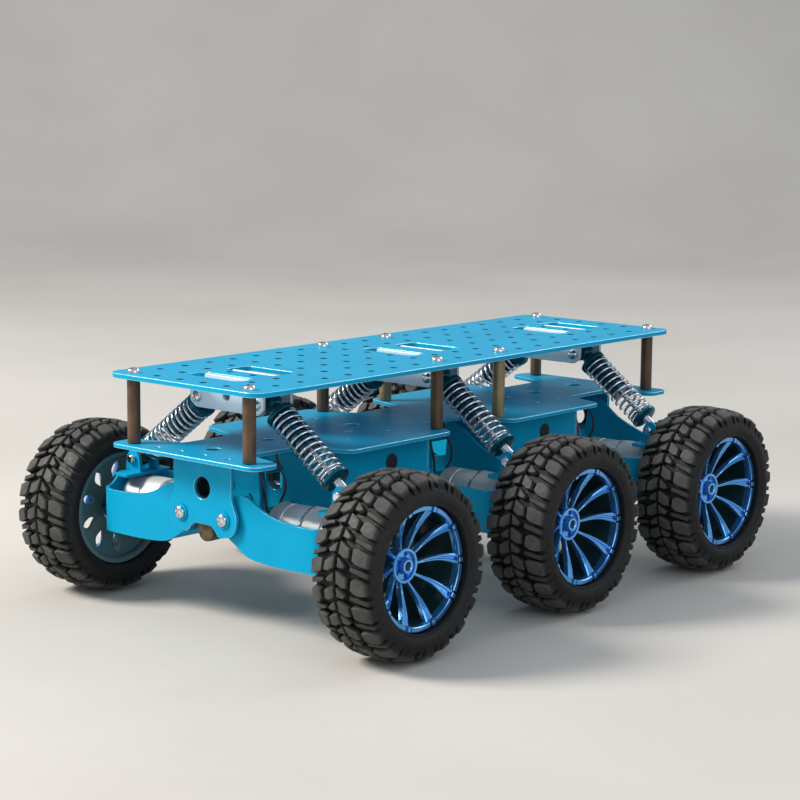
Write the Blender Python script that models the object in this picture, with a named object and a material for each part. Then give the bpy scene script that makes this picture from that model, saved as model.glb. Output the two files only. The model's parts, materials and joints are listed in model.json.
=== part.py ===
"""Six wheel off-road robot chassis with independent suspension.

A perforated top plate stands on eight posts above a folded lower deck. Six swing arms hinge on
two long rods under the deck, three on each side. Each arm is an open channel that holds a
gearmotor, and the motor's output shaft drives a wheel: a coupling, a ten spoke rim and a tyre.
A coil-over shock joins a bracket under the top plate to the outer end of each arm.

Frame: +X is the right side, -Y is the front, +Z is up. The origin is on the ground, under the
middle of the chassis. Sizes below are in millimetres, and the meshes are written in metres.
"""
import math

import bmesh
import bpy
from mathutils import Matrix, Vector

MM = 0.001
GAP = 0.4

# Layout
AXLE_PITCH = 155.0
AXLES = {"front": -AXLE_PITCH, "mid": 0.0, "rear": AXLE_PITCH}
SIDES = {"right": 1, "left": -1}
AXLE_Z = 55.0
WHEEL_X = 127.0
PIVOT_X, PIVOT_Z = 18.0, 70.0

# Wheels
TYRE_R, TYRE_HALF_WIDTH, TYRE_SIDES = 55.0, 23.0, 20
RIM_R, RIM_OUTER_X, RIM_INNER_X = 36.6, 19.0, -19.5
SPOKES, SPOKE_ANGLE = 10, 22.0
HUB_FACE_X, HUB_R, AXLE_R, HUB_BACK_X = 4.0, 8.5, 3.0, -8.6
COUPLING_X, COUPLING_R, HEXAGON_X, HEXAGON_R = -29.0, 10.5, -21.0, 7.0
COUPLING_BORE_R, NUT_R, NUT_LONG = 3.8, 5.5, 5.6

# Plates
TOP_Z, TOP_THICK, TOP_HALF_X, PLATE_HALF_Y = 152.0, 3.0, 64.0, 206.0
DECK_Z, DECK_THICK, DECK_HALF_X = 109.0, 2.5, 62.5
SCREW_X, SCREW_END_Y, SCREW_MID_Y = 49.0, 197.0, 31.0
HOLE_R, HOLE_PITCH_X, HOLE_PITCH_Y = 2.3, 19.6, 20.6
POST_R, HEAD_R, HEAD_HIGH, SHANK_R = 4.0, 4.0, 2.7, 1.7

# Slots in the top plate, as (offset from the axle, half width, half depth)
SLOTS = ((-17.0, 22.0, 7.5), (16.0, 21.0, 10.5))
SLOT_CORNER = 5.0

# Deck notches that clear the shocks
NOTCH_IN_X, NOTCH_IN_Y, NOTCH_OUT_Y = 29.0, 21.0, 30.5

# Deck holes: a large row in the middle, and small ones given for the right rear quarter
LARGE_HOLE_R, LARGE_HOLE_Y = 4.8, (178.0, 132.0, 97.0, 57.0)
SMALL_HOLE_R = 2.0
SMALL_HOLES = ((10.0, 196.0), (30.0, 196.0), (30.0, 122.0), (32.0, 97.0), (32.0, 57.0), (16.0, 77.0))

# Walls folded down under the deck
END_WALL_Y, END_WALL_THICK = 188.0, 2.5
WALL_THICK = 2.0
SKIRT_X, SKIRT_LOW_Z = 44.0, 76.0
BULKHEADS = (-125.5, -33.5, 29.5, 121.5)
ROD_R, ROD_HOLE_R = 2.0, 2.8
ROD_HALF_Y, ROD_HEAD_LONG, ROD_HEAD_R = 191.0, 2.4, 4.0
CABLE_HOLE_R, CABLE_HOLE_Z = 6.8, 87.0

# Shock brackets under the top plate, and shocks
BRACKET_IN_Y, BRACKET_HALF_X, BRACKET_LOW_Z = 10.5, 31.0, 130.5
EYE_TOP = Vector((25.0, 0.0, 137.0))
EYE_LOW = Vector((88.0, 0.0, 90.0))
PIN_R, EYE_HALF_WIDTH = 2.0, 4.5
SHOCK_LENGTH = (EYE_LOW - EYE_TOP).length
SHOCK_ANGLE = math.atan2(EYE_LOW.x - EYE_TOP.x, EYE_TOP.z - EYE_LOW.z)
BODY_R, BODY_END, BORE_R, BORE_START = 6.6, 42.0, 2.4, 12.0
COLLAR_R, COLLAR_AT, COLLAR_THICK = 9.2, 9.0, 3.0
SEAT_AT, SEAT_THICK = 64.0, 3.0
SHAFT_R, SHAFT_START = 1.7, 34.0
COIL_R, WIRE_R, COIL_TURNS, COIL_STEPS = 8.1, 0.9, 6, 7

# Swing arms: a channel with a front wall, a high rear wall, a floor and an outer end plate
ARM_FRONT_Y, ARM_REAR_Y, ARM_WALL = -29.0, 27.0, 2.0
ARM_END_X, ARM_LOW_Z, ARM_TOP_Z = 95.5, 47.0, 82.3
LUG_IN_Y, LUG_WALL, LUG_HALF_X = 5.9, 2.2, 7.0
FRONT_TOP_EDGE = ((95.5, 77.5), (80.0, 78.5), (60.0, 81.5), (42.0, 86.0), (30.0, 87.0), (20.0, 80.0))
REAR_TOP_EDGE = ((95.5, 77.5), (64.0, 79.5), (53.0, 84.0), (38.0, 88.5), (26.0, 95.0), (14.5, 103.0))
ARM_INNER_EDGE = ((9.5, 75.0), (9.5, 66.0), (14.0, 61.5))
ARM_FLOOR_EDGE = ((25.0, 54.5), (33.0, 48.0), (ARM_END_X, ARM_LOW_Z))

# Gearmotor, lying across the arm, with its output shaft below its own centre line
MOTOR_Z, MOTOR_R, GEARBOX_R = 64.8, 13.7, 14.5
MOTOR_IN_X, SEAM_X, GEARBOX_END_X = 33.0, 62.0, 93.0
SHAFT_END_X, OUTPUT_HOLE_R = 111.0, 7.0


def material(name, colour, roughness, metallic):
    made = bpy.data.materials.new(name)
    made.use_nodes = True
    shader = made.node_tree.nodes["Principled BSDF"]
    shader.inputs["Base Color"].default_value = (*colour, 1.0)
    shader.inputs["Roughness"].default_value = roughness
    shader.inputs["Metallic"].default_value = metallic
    return made


def closed_mesh(name, points, faces):
    """A mesh from points in millimetres, with its faces turned outwards."""
    mesh = bpy.data.meshes.new(name)
    mesh.from_pydata([Vector(p) * MM for p in points], [], faces)
    shape = bmesh.new()
    shape.from_mesh(mesh)
    bmesh.ops.recalc_face_normals(shape, faces=shape.faces)
    shape.to_mesh(mesh)
    shape.free()
    return mesh


def extruded(outline, plane, low, high):
    """The outline, drawn in plane XY or XZ, pushed from low to high across the plane."""
    count = len(outline)
    points = [(a, b, level) for level in (low, high) for a, b in outline]
    if plane == "XZ":
        points = [(a, level, b) for a, b, level in points]
    faces = [tuple(range(count)), tuple(range(count, 2 * count))]
    faces += [(k, (k + 1) % count, (k + 1) % count + count, k + count) for k in range(count)]
    return closed_mesh("extruded", points, faces)


def box(low, high):
    outline = [(low[0], low[1]), (high[0], low[1]), (high[0], high[1]), (low[0], high[1])]
    return extruded(outline, "XY", low[2], high[2])


def circle(centre, radius, sides, phase=0.5):
    angles = [2 * math.pi * (k + phase) / sides for k in range(sides)]
    return [(centre[0] + radius * math.cos(a), centre[1] + radius * math.sin(a)) for a in angles]


def rounded(corners, radius, steps=2):
    """The outline with each corner replaced by an arc; radius is one number or one per corner."""
    count = len(corners)
    radii = radius if isinstance(radius, (list, tuple)) else [radius] * count
    points = []
    for k, corner in enumerate(corners):
        here = Vector(corner)
        back = (Vector(corners[k - 1]) - here).normalized()
        ahead = (Vector(corners[(k + 1) % count]) - here).normalized()
        if radii[k] <= 0:
            points.append(tuple(here))
            continue
        half = back.angle(ahead) / 2
        centre = here + (back + ahead).normalized() * (radii[k] / math.sin(half))
        reach = radii[k] / math.tan(half)
        start, end = here + back * reach - centre, here + ahead * reach - centre
        sweep = start.angle_signed(end)
        for step in range(steps + 1):
            points.append(tuple(centre + Matrix.Rotation(-sweep * step / steps, 2) @ start))
    return points


def rectangle(half_x, half_y, centre=(0.0, 0.0)):
    signs = ((-1, -1), (1, -1), (1, 1), (-1, 1))
    return [(centre[0] + sx * half_x, centre[1] + sy * half_y) for sx, sy in signs]


def turned(profile, sides, closed=False, phase=0.5):
    """A round solid about Z from (height, radius) points; closed joins the last to the first."""
    rings = [[(x, y, height) for x, y in circle((0, 0), radius, sides, phase)] for height, radius in profile]
    points = [p for ring in rings for p in ring]
    spans = len(profile) if closed else len(profile) - 1
    faces = []
    for r in range(spans):
        low, high = r * sides, (r + 1) % len(profile) * sides
        faces += [(low + k, low + (k + 1) % sides, high + (k + 1) % sides, high + k) for k in range(sides)]
    if not closed:
        faces += [tuple(range(sides)), tuple(range(len(points) - sides, len(points)))]
    return closed_mesh("turned", points, faces)


def moved(mesh, matrix=None, offset=(0, 0, 0)):
    """The mesh turned by matrix, then shifted by an offset in millimetres."""
    change = Matrix.Translation(Vector(offset) * MM) @ (matrix or Matrix.Identity(4))
    mesh.transform(change)
    if change.determinant() < 0:
        mesh.flip_normals()
    return mesh


def along_x(mesh, offset=(0, 0, 0)):
    return moved(mesh, Matrix.Rotation(math.pi / 2, 4, "Y"), offset)


def along_y(mesh, offset=(0, 0, 0)):
    return moved(mesh, Matrix.Rotation(-math.pi / 2, 4, "X"), offset)


def gathered(meshes):
    """One mesh that holds several separate bodies, for use as the tool of one Boolean."""
    shape = bmesh.new()
    for mesh in meshes:
        shape.from_mesh(mesh)
    joined = bpy.data.meshes.new("gathered")
    shape.to_mesh(joined)
    shape.free()
    return joined


def combined(base, steps):
    """The base mesh after a list of (UNION or DIFFERENCE, mesh) Boolean steps."""
    scene = bpy.context.scene.collection.objects
    work = bpy.data.objects.new("work", base)
    scene.link(work)
    tools = []
    for operation, mesh in steps:
        tool = bpy.data.objects.new("tool", mesh)
        tool.hide_render = True
        tool.display_type = "WIRE"
        scene.link(tool)
        tools.append(tool)
        step = work.modifiers.new("step", "BOOLEAN")
        step.operation = operation
        step.solver = "EXACT"
        step.object = tool
    bpy.context.view_layer.update()
    result = bpy.data.meshes.new_from_object(work.evaluated_get(bpy.context.evaluated_depsgraph_get()))
    for item in [work] + tools:
        bpy.data.objects.remove(item)
    return cleaned(result)


def cleaned(mesh):
    """The mesh with flat regions merged into single faces and no stray points on its edges."""
    shape = bmesh.new()
    shape.from_mesh(mesh)
    bmesh.ops.remove_doubles(shape, verts=shape.verts, dist=0.002 * MM)
    bmesh.ops.dissolve_limit(shape, angle_limit=math.radians(0.5), verts=shape.verts, edges=shape.edges)
    bmesh.ops.triangulate(shape, faces=shape.faces)
    shape.to_mesh(mesh)
    shape.free()
    return mesh


def add(name, mesh, finish, origin=(0, 0, 0), rotation=0.0):
    """An object named after its part, with its origin in millimetres, turned about Y."""
    made = bpy.data.objects.new(name, mesh)
    mesh.name = name
    if not mesh.materials:
        mesh.materials.append(finish)
    mesh.shade_smooth()
    mesh.set_sharp_from_angle(angle=math.radians(35))
    made.location = Vector(origin) * MM
    made.rotation_euler = (0.0, rotation, 0.0)
    bpy.context.scene.collection.objects.link(made)
    return made


def hole_cutters(places, radius, low, high, sides=6):
    return [extruded(circle(place, radius, sides), "XY", low, high) for place in places]


def screw_places():
    return [(sx * SCREW_X, sy * y) for sx in (-1, 1) for y in (SCREW_END_Y, SCREW_MID_Y) for sy in (-1, 1)]


def top_plate():
    """The perforated plate, with a pair of cross slots and a shock bracket at each axle."""
    plate = extruded(rounded(rectangle(TOP_HALF_X, PLATE_HALF_Y), 10.0, 3), "XY", TOP_Z - TOP_THICK, TOP_Z)
    slots = [(axle + offset, half_x, half_y) for axle in AXLES.values() for offset, half_x, half_y in SLOTS]
    grid = []
    for column in range(6):
        for row in range(20):
            x, y = HOLE_PITCH_X * (column - 2.5), HOLE_PITCH_Y * (row - 9.5)
            in_slot = any(abs(x) < hx + 5 and abs(y - sy) < hy + 5 for sy, hx, hy in slots)
            by_screw = any(math.hypot(x - px, y - py) < 8 for px, py in screw_places())
            if not in_slot and not by_screw:
                grid.append((x, y))
    low, high = TOP_Z - TOP_THICK - 1, TOP_Z + 1
    cuts = hole_cutters(grid + screw_places(), HOLE_R, low, high, 5)
    for centre_y, half_x, half_y in slots:
        outline = rounded(rectangle(half_x, half_y, (0, centre_y)), SLOT_CORNER)
        cuts.append(extruded(outline, "XY", low, high))
    sides, pins = brackets()
    steps = [("DIFFERENCE", gathered(cuts)), ("UNION", gathered(sides)), ("UNION", gathered(pins))]
    return combined(plate, steps)


def deck_outline():
    """Half of the deck's edge runs from front to rear on the right; the left mirrors it."""
    right = [(DECK_HALF_X, -PLATE_HALF_Y)]
    radii = [8.0]
    for axle in AXLES.values():
        right += [(DECK_HALF_X, axle - NOTCH_OUT_Y), (NOTCH_IN_X, axle - NOTCH_IN_Y)]
        right += [(NOTCH_IN_X, axle + NOTCH_IN_Y), (DECK_HALF_X, axle + NOTCH_OUT_Y)]
        radii += [6.0, 4.0, 4.0, 6.0]
    right.append((DECK_HALF_X, PLATE_HALF_Y))
    radii.append(8.0)
    left = [(-x, y) for x, y in reversed(right)]
    return rounded(right + left, radii + radii[::-1])


def end_wall_outline():
    """The end wall in XZ: narrow under the deck, with a round ear at each pivot."""
    right = [(24.5, DECK_Z - 1.0), (24.5, 82.0), (29.0, 72.0), (27.0, 61.0), (14.0, 58.0), (8.0, 65.0)]
    radii = [0.0, 6.0, 6.0, 7.0, 4.0, 5.0]
    left = [(-x, z) for x, z in reversed(right)]
    return rounded(right + left, radii + radii[::-1])


def bracket_outline():
    """A shock bracket's side plate in XZ, let into the top plate at its upper corners."""
    wide, low, high = BRACKET_HALF_X, BRACKET_LOW_Z, TOP_Z - TOP_THICK + 0.5
    right = [(wide, high), (wide, low + 3.5), (wide - 5.0, low)]
    left = [(-x, z) for x, z in reversed(right)]
    return right + left


def brackets():
    """The side plates of the three shock brackets, and the pins that hold the upper eyes."""
    sides, pins = [], []
    for axle in AXLES.values():
        for y in (axle - BRACKET_IN_Y - WALL_THICK, axle + BRACKET_IN_Y):
            sides.append(extruded(bracket_outline(), "XZ", y, y + WALL_THICK))
        for x in (-EYE_TOP.x, EYE_TOP.x):
            pin = turned([(-BRACKET_IN_Y - 1.0, PIN_R), (BRACKET_IN_Y + 1.0, PIN_R)], 6)
            pins.append(along_y(pin, (x, axle, EYE_TOP.z)))
    return sides, pins


def lower_deck():
    """The deck with its folded end walls, cross walls and side skirts."""
    plate = extruded(deck_outline(), "XY", DECK_Z - DECK_THICK, DECK_Z)
    under = DECK_Z - 1.0
    walls = []
    for side_y in (-END_WALL_Y, END_WALL_Y - END_WALL_THICK):
        walls.append(extruded(end_wall_outline(), "XZ", side_y, side_y + END_WALL_THICK))
    cross = [(SKIRT_X, under), (SKIRT_X, 76.0), (30.0, 62.0)]
    cross += [(-x, z) for x, z in reversed(cross)]
    walls += [extruded(cross, "XZ", y, y + WALL_THICK) for y in BULKHEADS]
    skirts = []
    for front, rear in ((BULKHEADS[0], BULKHEADS[1]), (BULKHEADS[2], BULKHEADS[3])):
        for x in (-SKIRT_X, SKIRT_X - WALL_THICK):
            low = (x, front + 0.5, SKIRT_LOW_Z)
            skirts.append(box(low, (x + WALL_THICK, rear + WALL_THICK - 0.5, under)))
    low, high = DECK_Z - DECK_THICK - 1, DECK_Z + 1
    large = [(0, sy * y) for y in LARGE_HOLE_Y for sy in (-1, 1)]
    cuts = hole_cutters(large, LARGE_HOLE_R, low, high)
    small = [(sx * x, sy * y) for x, y in SMALL_HOLES for sx in (-1, 1) for sy in (-1, 1)]
    cuts += hole_cutters(small, SMALL_HOLE_R, low, high)
    for x in (-PIVOT_X, PIVOT_X):
        rod_hole = turned([(-END_WALL_Y - 1, ROD_HOLE_R), (END_WALL_Y + 1, ROD_HOLE_R)], 6)
        cuts.append(along_y(rod_hole, (x, 0, PIVOT_Z)))
    for y in (-END_WALL_Y, END_WALL_Y):
        cable_hole = turned([(-5.0, CABLE_HOLE_R), (5.0, CABLE_HOLE_R)], 8)
        cuts.append(along_y(cable_hole, (0, y, CABLE_HOLE_Z)))
    steps = [("UNION", gathered(group)) for group in (walls, skirts)]
    return combined(plate, steps + [("DIFFERENCE", gathered(cuts))])


def post():
    """A post with the pan head screw that holds the top plate down on it, about its own foot."""
    foot, under, over = GAP, TOP_Z - TOP_THICK - DECK_Z - GAP, TOP_Z - DECK_Z + GAP
    profile = [(foot, POST_R), (under, POST_R), (under, SHANK_R), (over, SHANK_R), (over, HEAD_R)]
    profile += [(over + HEAD_HIGH, HEAD_R * 0.55)]
    return turned(profile, 8)


def pivot_rod():
    """A long rod with a pan head at the front and a nut at the rear, about its middle."""
    inner = ROD_HALF_Y - ROD_HEAD_LONG
    profile = [(-ROD_HALF_Y, ROD_HEAD_R * 0.65), (-inner, ROD_HEAD_R), (-inner, ROD_R), (inner, ROD_R)]
    profile += [(inner, ROD_HEAD_R), (ROD_HALF_Y, ROD_HEAD_R)]
    return along_y(turned(profile, 8))


def tyre():
    """The tyre about its own centre, with a flat facet at the bottom that stands on the ground."""
    widen = 1 / math.cos(math.pi / TYRE_SIDES)
    half = [(19.5, RIM_R + 0.7), (TYRE_HALF_WIDTH, 43.0), (TYRE_HALF_WIDTH, 50.0), (17.0, TYRE_R * widen)]
    profile = half + [(-x, r) for x, r in reversed(half)]
    return along_x(turned(profile, TYRE_SIDES, closed=True))


def rim():
    """A dished rim about the wheel's centre: barrel, hub boss and ten spokes between them.

    Odd sectors are windows, and even ones are spokes. Every ring has the same 20 directions.
    """
    barrel = [(RIM_OUTER_X, RIM_R), (RIM_OUTER_X, 33.8), (15.0, 33.3), (8.0, 32.6), (RIM_INNER_X, 34.0)]
    barrel.append((RIM_INNER_X, RIM_R))
    boss = [(HUB_FACE_X, AXLE_R + GAP), (HUB_FACE_X, HUB_R), (-3.0, HUB_R), (HUB_BACK_X, HUB_R)]
    boss.append((HUB_BACK_X, AXLE_R + GAP))
    turn = 360.0 / SPOKES
    angles = [turn * k + s * SPOKE_ANGLE / 2 for k in range(SPOKES) for s in (-1, 1)]
    points, faces = [], []
    for angle in angles:
        c, s = math.cos(math.radians(angle)), math.sin(math.radians(angle))
        points += [(x, r * c, r * s) for x, r in barrel + boss]
    per_ring = len(barrel) + len(boss)
    spoke_front, spoke_back = (2, len(barrel) + 1), (3, len(barrel) + 2)
    for k in range(len(angles)):
        here, ahead = k * per_ring, (k + 1) % len(angles) * per_ring
        is_spoke = k % 2 == 0
        for first, count, open_span in ((0, len(barrel), 2), (len(barrel), len(boss), 1)):
            for j in range(count):
                if is_spoke and j == open_span:
                    continue
                a, b = first + j, first + (j + 1) % count
                faces.append((here + a, here + b, ahead + b, ahead + a))
        if is_spoke:
            for rim_end, boss_end in (spoke_front, spoke_back):
                faces.append((here + rim_end, here + boss_end, ahead + boss_end, ahead + rim_end))
            for ring in (here, ahead):
                faces.append((ring + 2, ring + 3, ring + spoke_back[1], ring + spoke_front[1]))
    return closed_mesh("rim", points, faces)


def wheel_hub():
    """The coupling on the motor's shaft, its hexagon, the axle through the rim and the nut."""
    hex_end, nut = HUB_BACK_X - GAP, HUB_FACE_X + GAP
    profile = [(COUPLING_X, COUPLING_R), (HEXAGON_X, COUPLING_R), (HEXAGON_X, HEXAGON_R)]
    profile += [(hex_end, HEXAGON_R), (hex_end, AXLE_R), (nut, AXLE_R), (nut, NUT_R), (nut + NUT_LONG, NUT_R)]
    bore_end = SHAFT_END_X + 1.0 - WHEEL_X
    bore = turned([(COUPLING_X - 1.0, COUPLING_BORE_R), (bore_end, COUPLING_BORE_R)], 8)
    return along_x(combined(turned(profile, 8), [("DIFFERENCE", bore)]))


def gearmotor():
    """A round motor and gearbox with a seam groove, and the output shaft below their axis."""
    profile = [(MOTOR_IN_X - 3, 5.0), (MOTOR_IN_X, 5.0), (MOTOR_IN_X, MOTOR_R), (SEAM_X, MOTOR_R)]
    profile += [(SEAM_X, GEARBOX_R), (GEARBOX_END_X, GEARBOX_R)]
    case = along_x(turned(profile, 12), (0, 0, MOTOR_Z))
    shaft = along_x(turned([(GEARBOX_END_X - 3, AXLE_R), (SHAFT_END_X, AXLE_R)], 6), (0, 0, AXLE_Z))
    return combined(case, [("UNION", shaft)])


def arm_wall(top_edge, low_y, high_y):
    edge = list(top_edge) + list(ARM_INNER_EDGE) + list(ARM_FLOOR_EDGE)
    return extruded(edge, "XZ", low_y, high_y)


def swing_arm():
    """The right arm in world X and Z, with Y counted from its axle."""
    front = arm_wall(FRONT_TOP_EDGE, ARM_FRONT_Y, ARM_FRONT_Y + ARM_WALL)
    rear = arm_wall(REAR_TOP_EDGE, ARM_REAR_Y - ARM_WALL, ARM_REAR_Y)
    inset = 0.5
    low_y, high_y = ARM_FRONT_Y + inset, ARM_REAR_Y - inset
    under = [(x, z + 0.1) for x, z in ARM_FLOOR_EDGE]
    over = [(x, z + ARM_WALL) for x, z in reversed(ARM_FLOOR_EDGE)]
    floor = extruded(under + over, "XZ", low_y, high_y)
    end = box((ARM_END_X - ARM_WALL, low_y, ARM_LOW_Z + 0.2), (ARM_END_X - 0.1, high_y, ARM_TOP_Z))
    bridge = box((80.0, low_y + 8.0, ARM_TOP_Z - ARM_WALL), (ARM_END_X - 0.2, high_y - 8.0, ARM_TOP_Z - 0.1))
    lugs = []
    lug = [(EYE_LOW.x - LUG_HALF_X, ARM_TOP_Z - 1.0), (EYE_LOW.x + LUG_HALF_X, ARM_TOP_Z - 1.0)]
    lug += [(EYE_LOW.x + 5.5, EYE_LOW.z + 3.0), (EYE_LOW.x + 2.0, EYE_LOW.z + 6.0)]
    lug += [(EYE_LOW.x - 2.0, EYE_LOW.z + 6.0), (EYE_LOW.x - 5.5, EYE_LOW.z + 3.0)]
    for y in (-LUG_IN_Y - LUG_WALL, LUG_IN_Y):
        lugs.append(extruded(lug, "XZ", y, y + LUG_WALL))
    stud = along_y(turned([(-LUG_IN_Y - 1, PIN_R), (LUG_IN_Y + 1, PIN_R)], 6), tuple(EYE_LOW))
    rod_hole = along_y(turned([(-40, ROD_HOLE_R), (40, ROD_HOLE_R)], 6), (PIVOT_X, 0, PIVOT_Z))
    shaft_hole = along_x(turned([(-8, OUTPUT_HOLE_R), (8, OUTPUT_HOLE_R)], 8), (ARM_END_X, 0, AXLE_Z))
    joins = [rear, floor, end, bridge, gathered(lugs), stud]
    steps = [("UNION", mesh) for mesh in joins] + [("DIFFERENCE", gathered([rod_hole, shaft_hole]))]
    return combined(front, steps)


def shock_cylinder():
    """The shock's upper half about its eye, hanging down -Z: eye, collar and bored body."""
    eye = along_y(turned([(-EYE_HALF_WIDTH, 5.4), (EYE_HALF_WIDTH, 5.4)], 8))
    profile = [(-4.0, 4.0), (-COLLAR_AT, 4.0), (-COLLAR_AT, COLLAR_R), (-COLLAR_AT - COLLAR_THICK, COLLAR_R)]
    profile += [(-COLLAR_AT - COLLAR_THICK, BODY_R), (-BODY_END, BODY_R)]
    body = turned(profile, 8)
    pin_hole = along_y(turned([(-9, PIN_R + 0.7), (9, PIN_R + 0.7)], 6))
    bore = turned([(-BORE_START, BORE_R), (-BODY_END - 1, BORE_R)], 6)
    return combined(body, [("UNION", eye), ("DIFFERENCE", gathered([pin_hole, bore]))])


def shock_rod():
    """The shock's lower half about the upper eye: shaft, spring seat and lower eye."""
    low = -SHOCK_LENGTH
    profile = [(-SHAFT_START, SHAFT_R), (-SEAT_AT, SHAFT_R), (-SEAT_AT, COLLAR_R)]
    profile += [(-SEAT_AT - SEAT_THICK, COLLAR_R), (-SEAT_AT - SEAT_THICK, 2.8), (low + 3.6, 2.8)]
    shaft = turned(profile, 8)
    eye = along_y(turned([(-EYE_HALF_WIDTH, 5.0), (EYE_HALF_WIDTH, 5.0)], 8), (0, 0, low))
    stud_hole = along_y(turned([(-9, PIN_R + 1.2), (9, PIN_R + 1.2)], 6), (0, 0, low))
    return combined(shaft, [("UNION", eye), ("DIFFERENCE", stud_hole)])


def spring():
    """The coil between the collar and the seat, about the upper eye, with a three sided wire."""
    start, end = -COLLAR_AT - COLLAR_THICK - WIRE_R - GAP, -SEAT_AT + WIRE_R + GAP
    points, faces = [], []
    count = COIL_TURNS * COIL_STEPS + 1
    for k in range(count):
        angle = 2 * math.pi * k / COIL_STEPS
        height = start + (end - start) * k / (count - 1)
        for radial, rise in circle((0, 0), WIRE_R, 3, 0):
            reach = COIL_R + radial
            points.append((reach * math.cos(angle), reach * math.sin(angle), height + rise))
    for k in range(count - 1):
        low, high = 3 * k, 3 * k + 3
        faces += [(low + j, low + (j + 1) % 3, high + (j + 1) % 3, high + j) for j in range(3)]
    faces += [(0, 1, 2), tuple(3 * count - 3 + j for j in range(3))]
    return closed_mesh("spring", points, faces)


def mirrored(mesh):
    return moved(mesh.copy(), Matrix.Diagonal((-1, 1, 1, 1)))


def build_chassis(blue, bronze, steel):
    add("lower_deck", lower_deck(), blue)
    add("top_plate", top_plate(), blue)
    post_mesh = post()
    rows = {"front": -SCREW_END_Y, "mid_front": -SCREW_MID_Y, "mid_rear": SCREW_MID_Y, "rear": SCREW_END_Y}
    for place, y in rows.items():
        for side, sign in SIDES.items():
            add(f"post_{place}_{side}", post_mesh, bronze, (sign * SCREW_X, y, DECK_Z))
    rod_mesh = pivot_rod()
    for side, sign in SIDES.items():
        add(f"pivot_rod_{side}", rod_mesh, steel, (sign * PIVOT_X, 0, PIVOT_Z))


def build_corner_meshes():
    """One mesh for each repeated part of a corner, for the right and for the left side."""
    arm = moved(swing_arm(), offset=(-PIVOT_X, 0, -PIVOT_Z))
    motor = moved(gearmotor(), offset=(-PIVOT_X, 0, -PIVOT_Z))
    right = {"arm": arm, "motor": motor, "hub": wheel_hub(), "rim": rim(), "tyre": tyre()}
    return {"right": right, "left": {name: mirrored(mesh) for name, mesh in right.items()}}


def build_corners(finishes):
    """The arm, motor, wheel and shock at each of the six corners."""
    meshes = build_corner_meshes()
    shock = {"cylinder": shock_cylinder(), "rod": shock_rod(), "spring": spring()}
    for place, y in AXLES.items():
        for side, sign in SIDES.items():
            mesh, tag = meshes[side], f"{place}_{side}"
            pivot, wheel = (sign * PIVOT_X, y, PIVOT_Z), (sign * WHEEL_X, y, AXLE_Z)
            add(f"swing_arm_{tag}", mesh["arm"], finishes["blue"], pivot)
            add(f"gearmotor_{tag}", mesh["motor"], finishes["silver"], pivot)
            add(f"wheel_hub_{tag}", mesh["hub"], finishes["brass"], wheel)
            add(f"rim_{tag}", mesh["rim"], finishes["rim"], wheel)
            add(f"tyre_{tag}", mesh["tyre"], finishes["rubber"], wheel)
            eye, lean = (sign * EYE_TOP.x, y, EYE_TOP.z), -sign * SHOCK_ANGLE
            add(f"shock_cylinder_{tag}", shock["cylinder"], finishes["shock"], eye, lean)
            add(f"shock_rod_{tag}", shock["rod"], finishes["steel"], eye, lean)
            add(f"spring_{tag}", shock["spring"], finishes["steel"], eye, lean)


def main():
    for item in list(bpy.data.objects):
        bpy.data.objects.remove(item)
    finishes = {
        "blue": material("anodised_blue", (0.02, 0.35, 0.62), 0.38, 0.7),
        "silver": material("motor_silver", (0.62, 0.62, 0.62), 0.35, 0.9),
        "steel": material("bright_steel", (0.75, 0.76, 0.78), 0.2, 1.0),
        "bronze": material("post_bronze", (0.32, 0.22, 0.14), 0.35, 0.8),
        "brass": material("coupling_brass", (0.42, 0.30, 0.16), 0.35, 0.9),
        "shock": material("shock_blue", (0.03, 0.16, 0.26), 0.25, 0.8),
        "rim": material("rim_blue", (0.05, 0.28, 0.72), 0.2, 0.9),
        "rubber": material("tyre_rubber", (0.02, 0.02, 0.02), 0.75, 0.0),
    }
    build_chassis(finishes["blue"], finishes["bronze"], finishes["steel"])
    build_corners(finishes)


main()
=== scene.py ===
"""Looks of the six wheel robot chassis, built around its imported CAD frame.

Lengths in this file are in millimetres: mesh_from() and piece() turn them into metres. A part of
a corner is drawn for the right side, with Y counted from its axle, and mirrored for the left.
"""
import json
import math
import random

import bmesh
import bpy
from mathutils import Matrix, Vector

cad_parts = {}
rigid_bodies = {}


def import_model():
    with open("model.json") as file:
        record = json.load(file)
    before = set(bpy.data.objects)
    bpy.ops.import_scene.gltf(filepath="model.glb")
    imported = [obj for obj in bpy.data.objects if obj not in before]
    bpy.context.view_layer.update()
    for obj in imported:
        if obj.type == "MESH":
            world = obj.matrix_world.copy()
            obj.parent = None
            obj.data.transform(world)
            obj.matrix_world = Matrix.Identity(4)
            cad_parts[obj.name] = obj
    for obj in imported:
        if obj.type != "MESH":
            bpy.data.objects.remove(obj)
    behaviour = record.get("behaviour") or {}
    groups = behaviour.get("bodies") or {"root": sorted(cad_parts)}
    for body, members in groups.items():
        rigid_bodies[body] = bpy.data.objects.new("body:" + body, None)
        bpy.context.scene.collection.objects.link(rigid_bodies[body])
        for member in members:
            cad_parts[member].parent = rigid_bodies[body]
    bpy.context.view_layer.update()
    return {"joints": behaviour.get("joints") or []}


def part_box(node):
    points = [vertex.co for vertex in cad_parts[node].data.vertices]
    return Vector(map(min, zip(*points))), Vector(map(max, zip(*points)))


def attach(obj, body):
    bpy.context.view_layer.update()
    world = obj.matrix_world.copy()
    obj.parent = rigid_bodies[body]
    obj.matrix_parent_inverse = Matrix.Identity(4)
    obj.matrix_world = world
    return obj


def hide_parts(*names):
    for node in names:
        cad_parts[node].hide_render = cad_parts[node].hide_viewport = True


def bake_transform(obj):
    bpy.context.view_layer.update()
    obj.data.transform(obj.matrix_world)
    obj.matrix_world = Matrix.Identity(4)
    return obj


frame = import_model()
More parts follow.
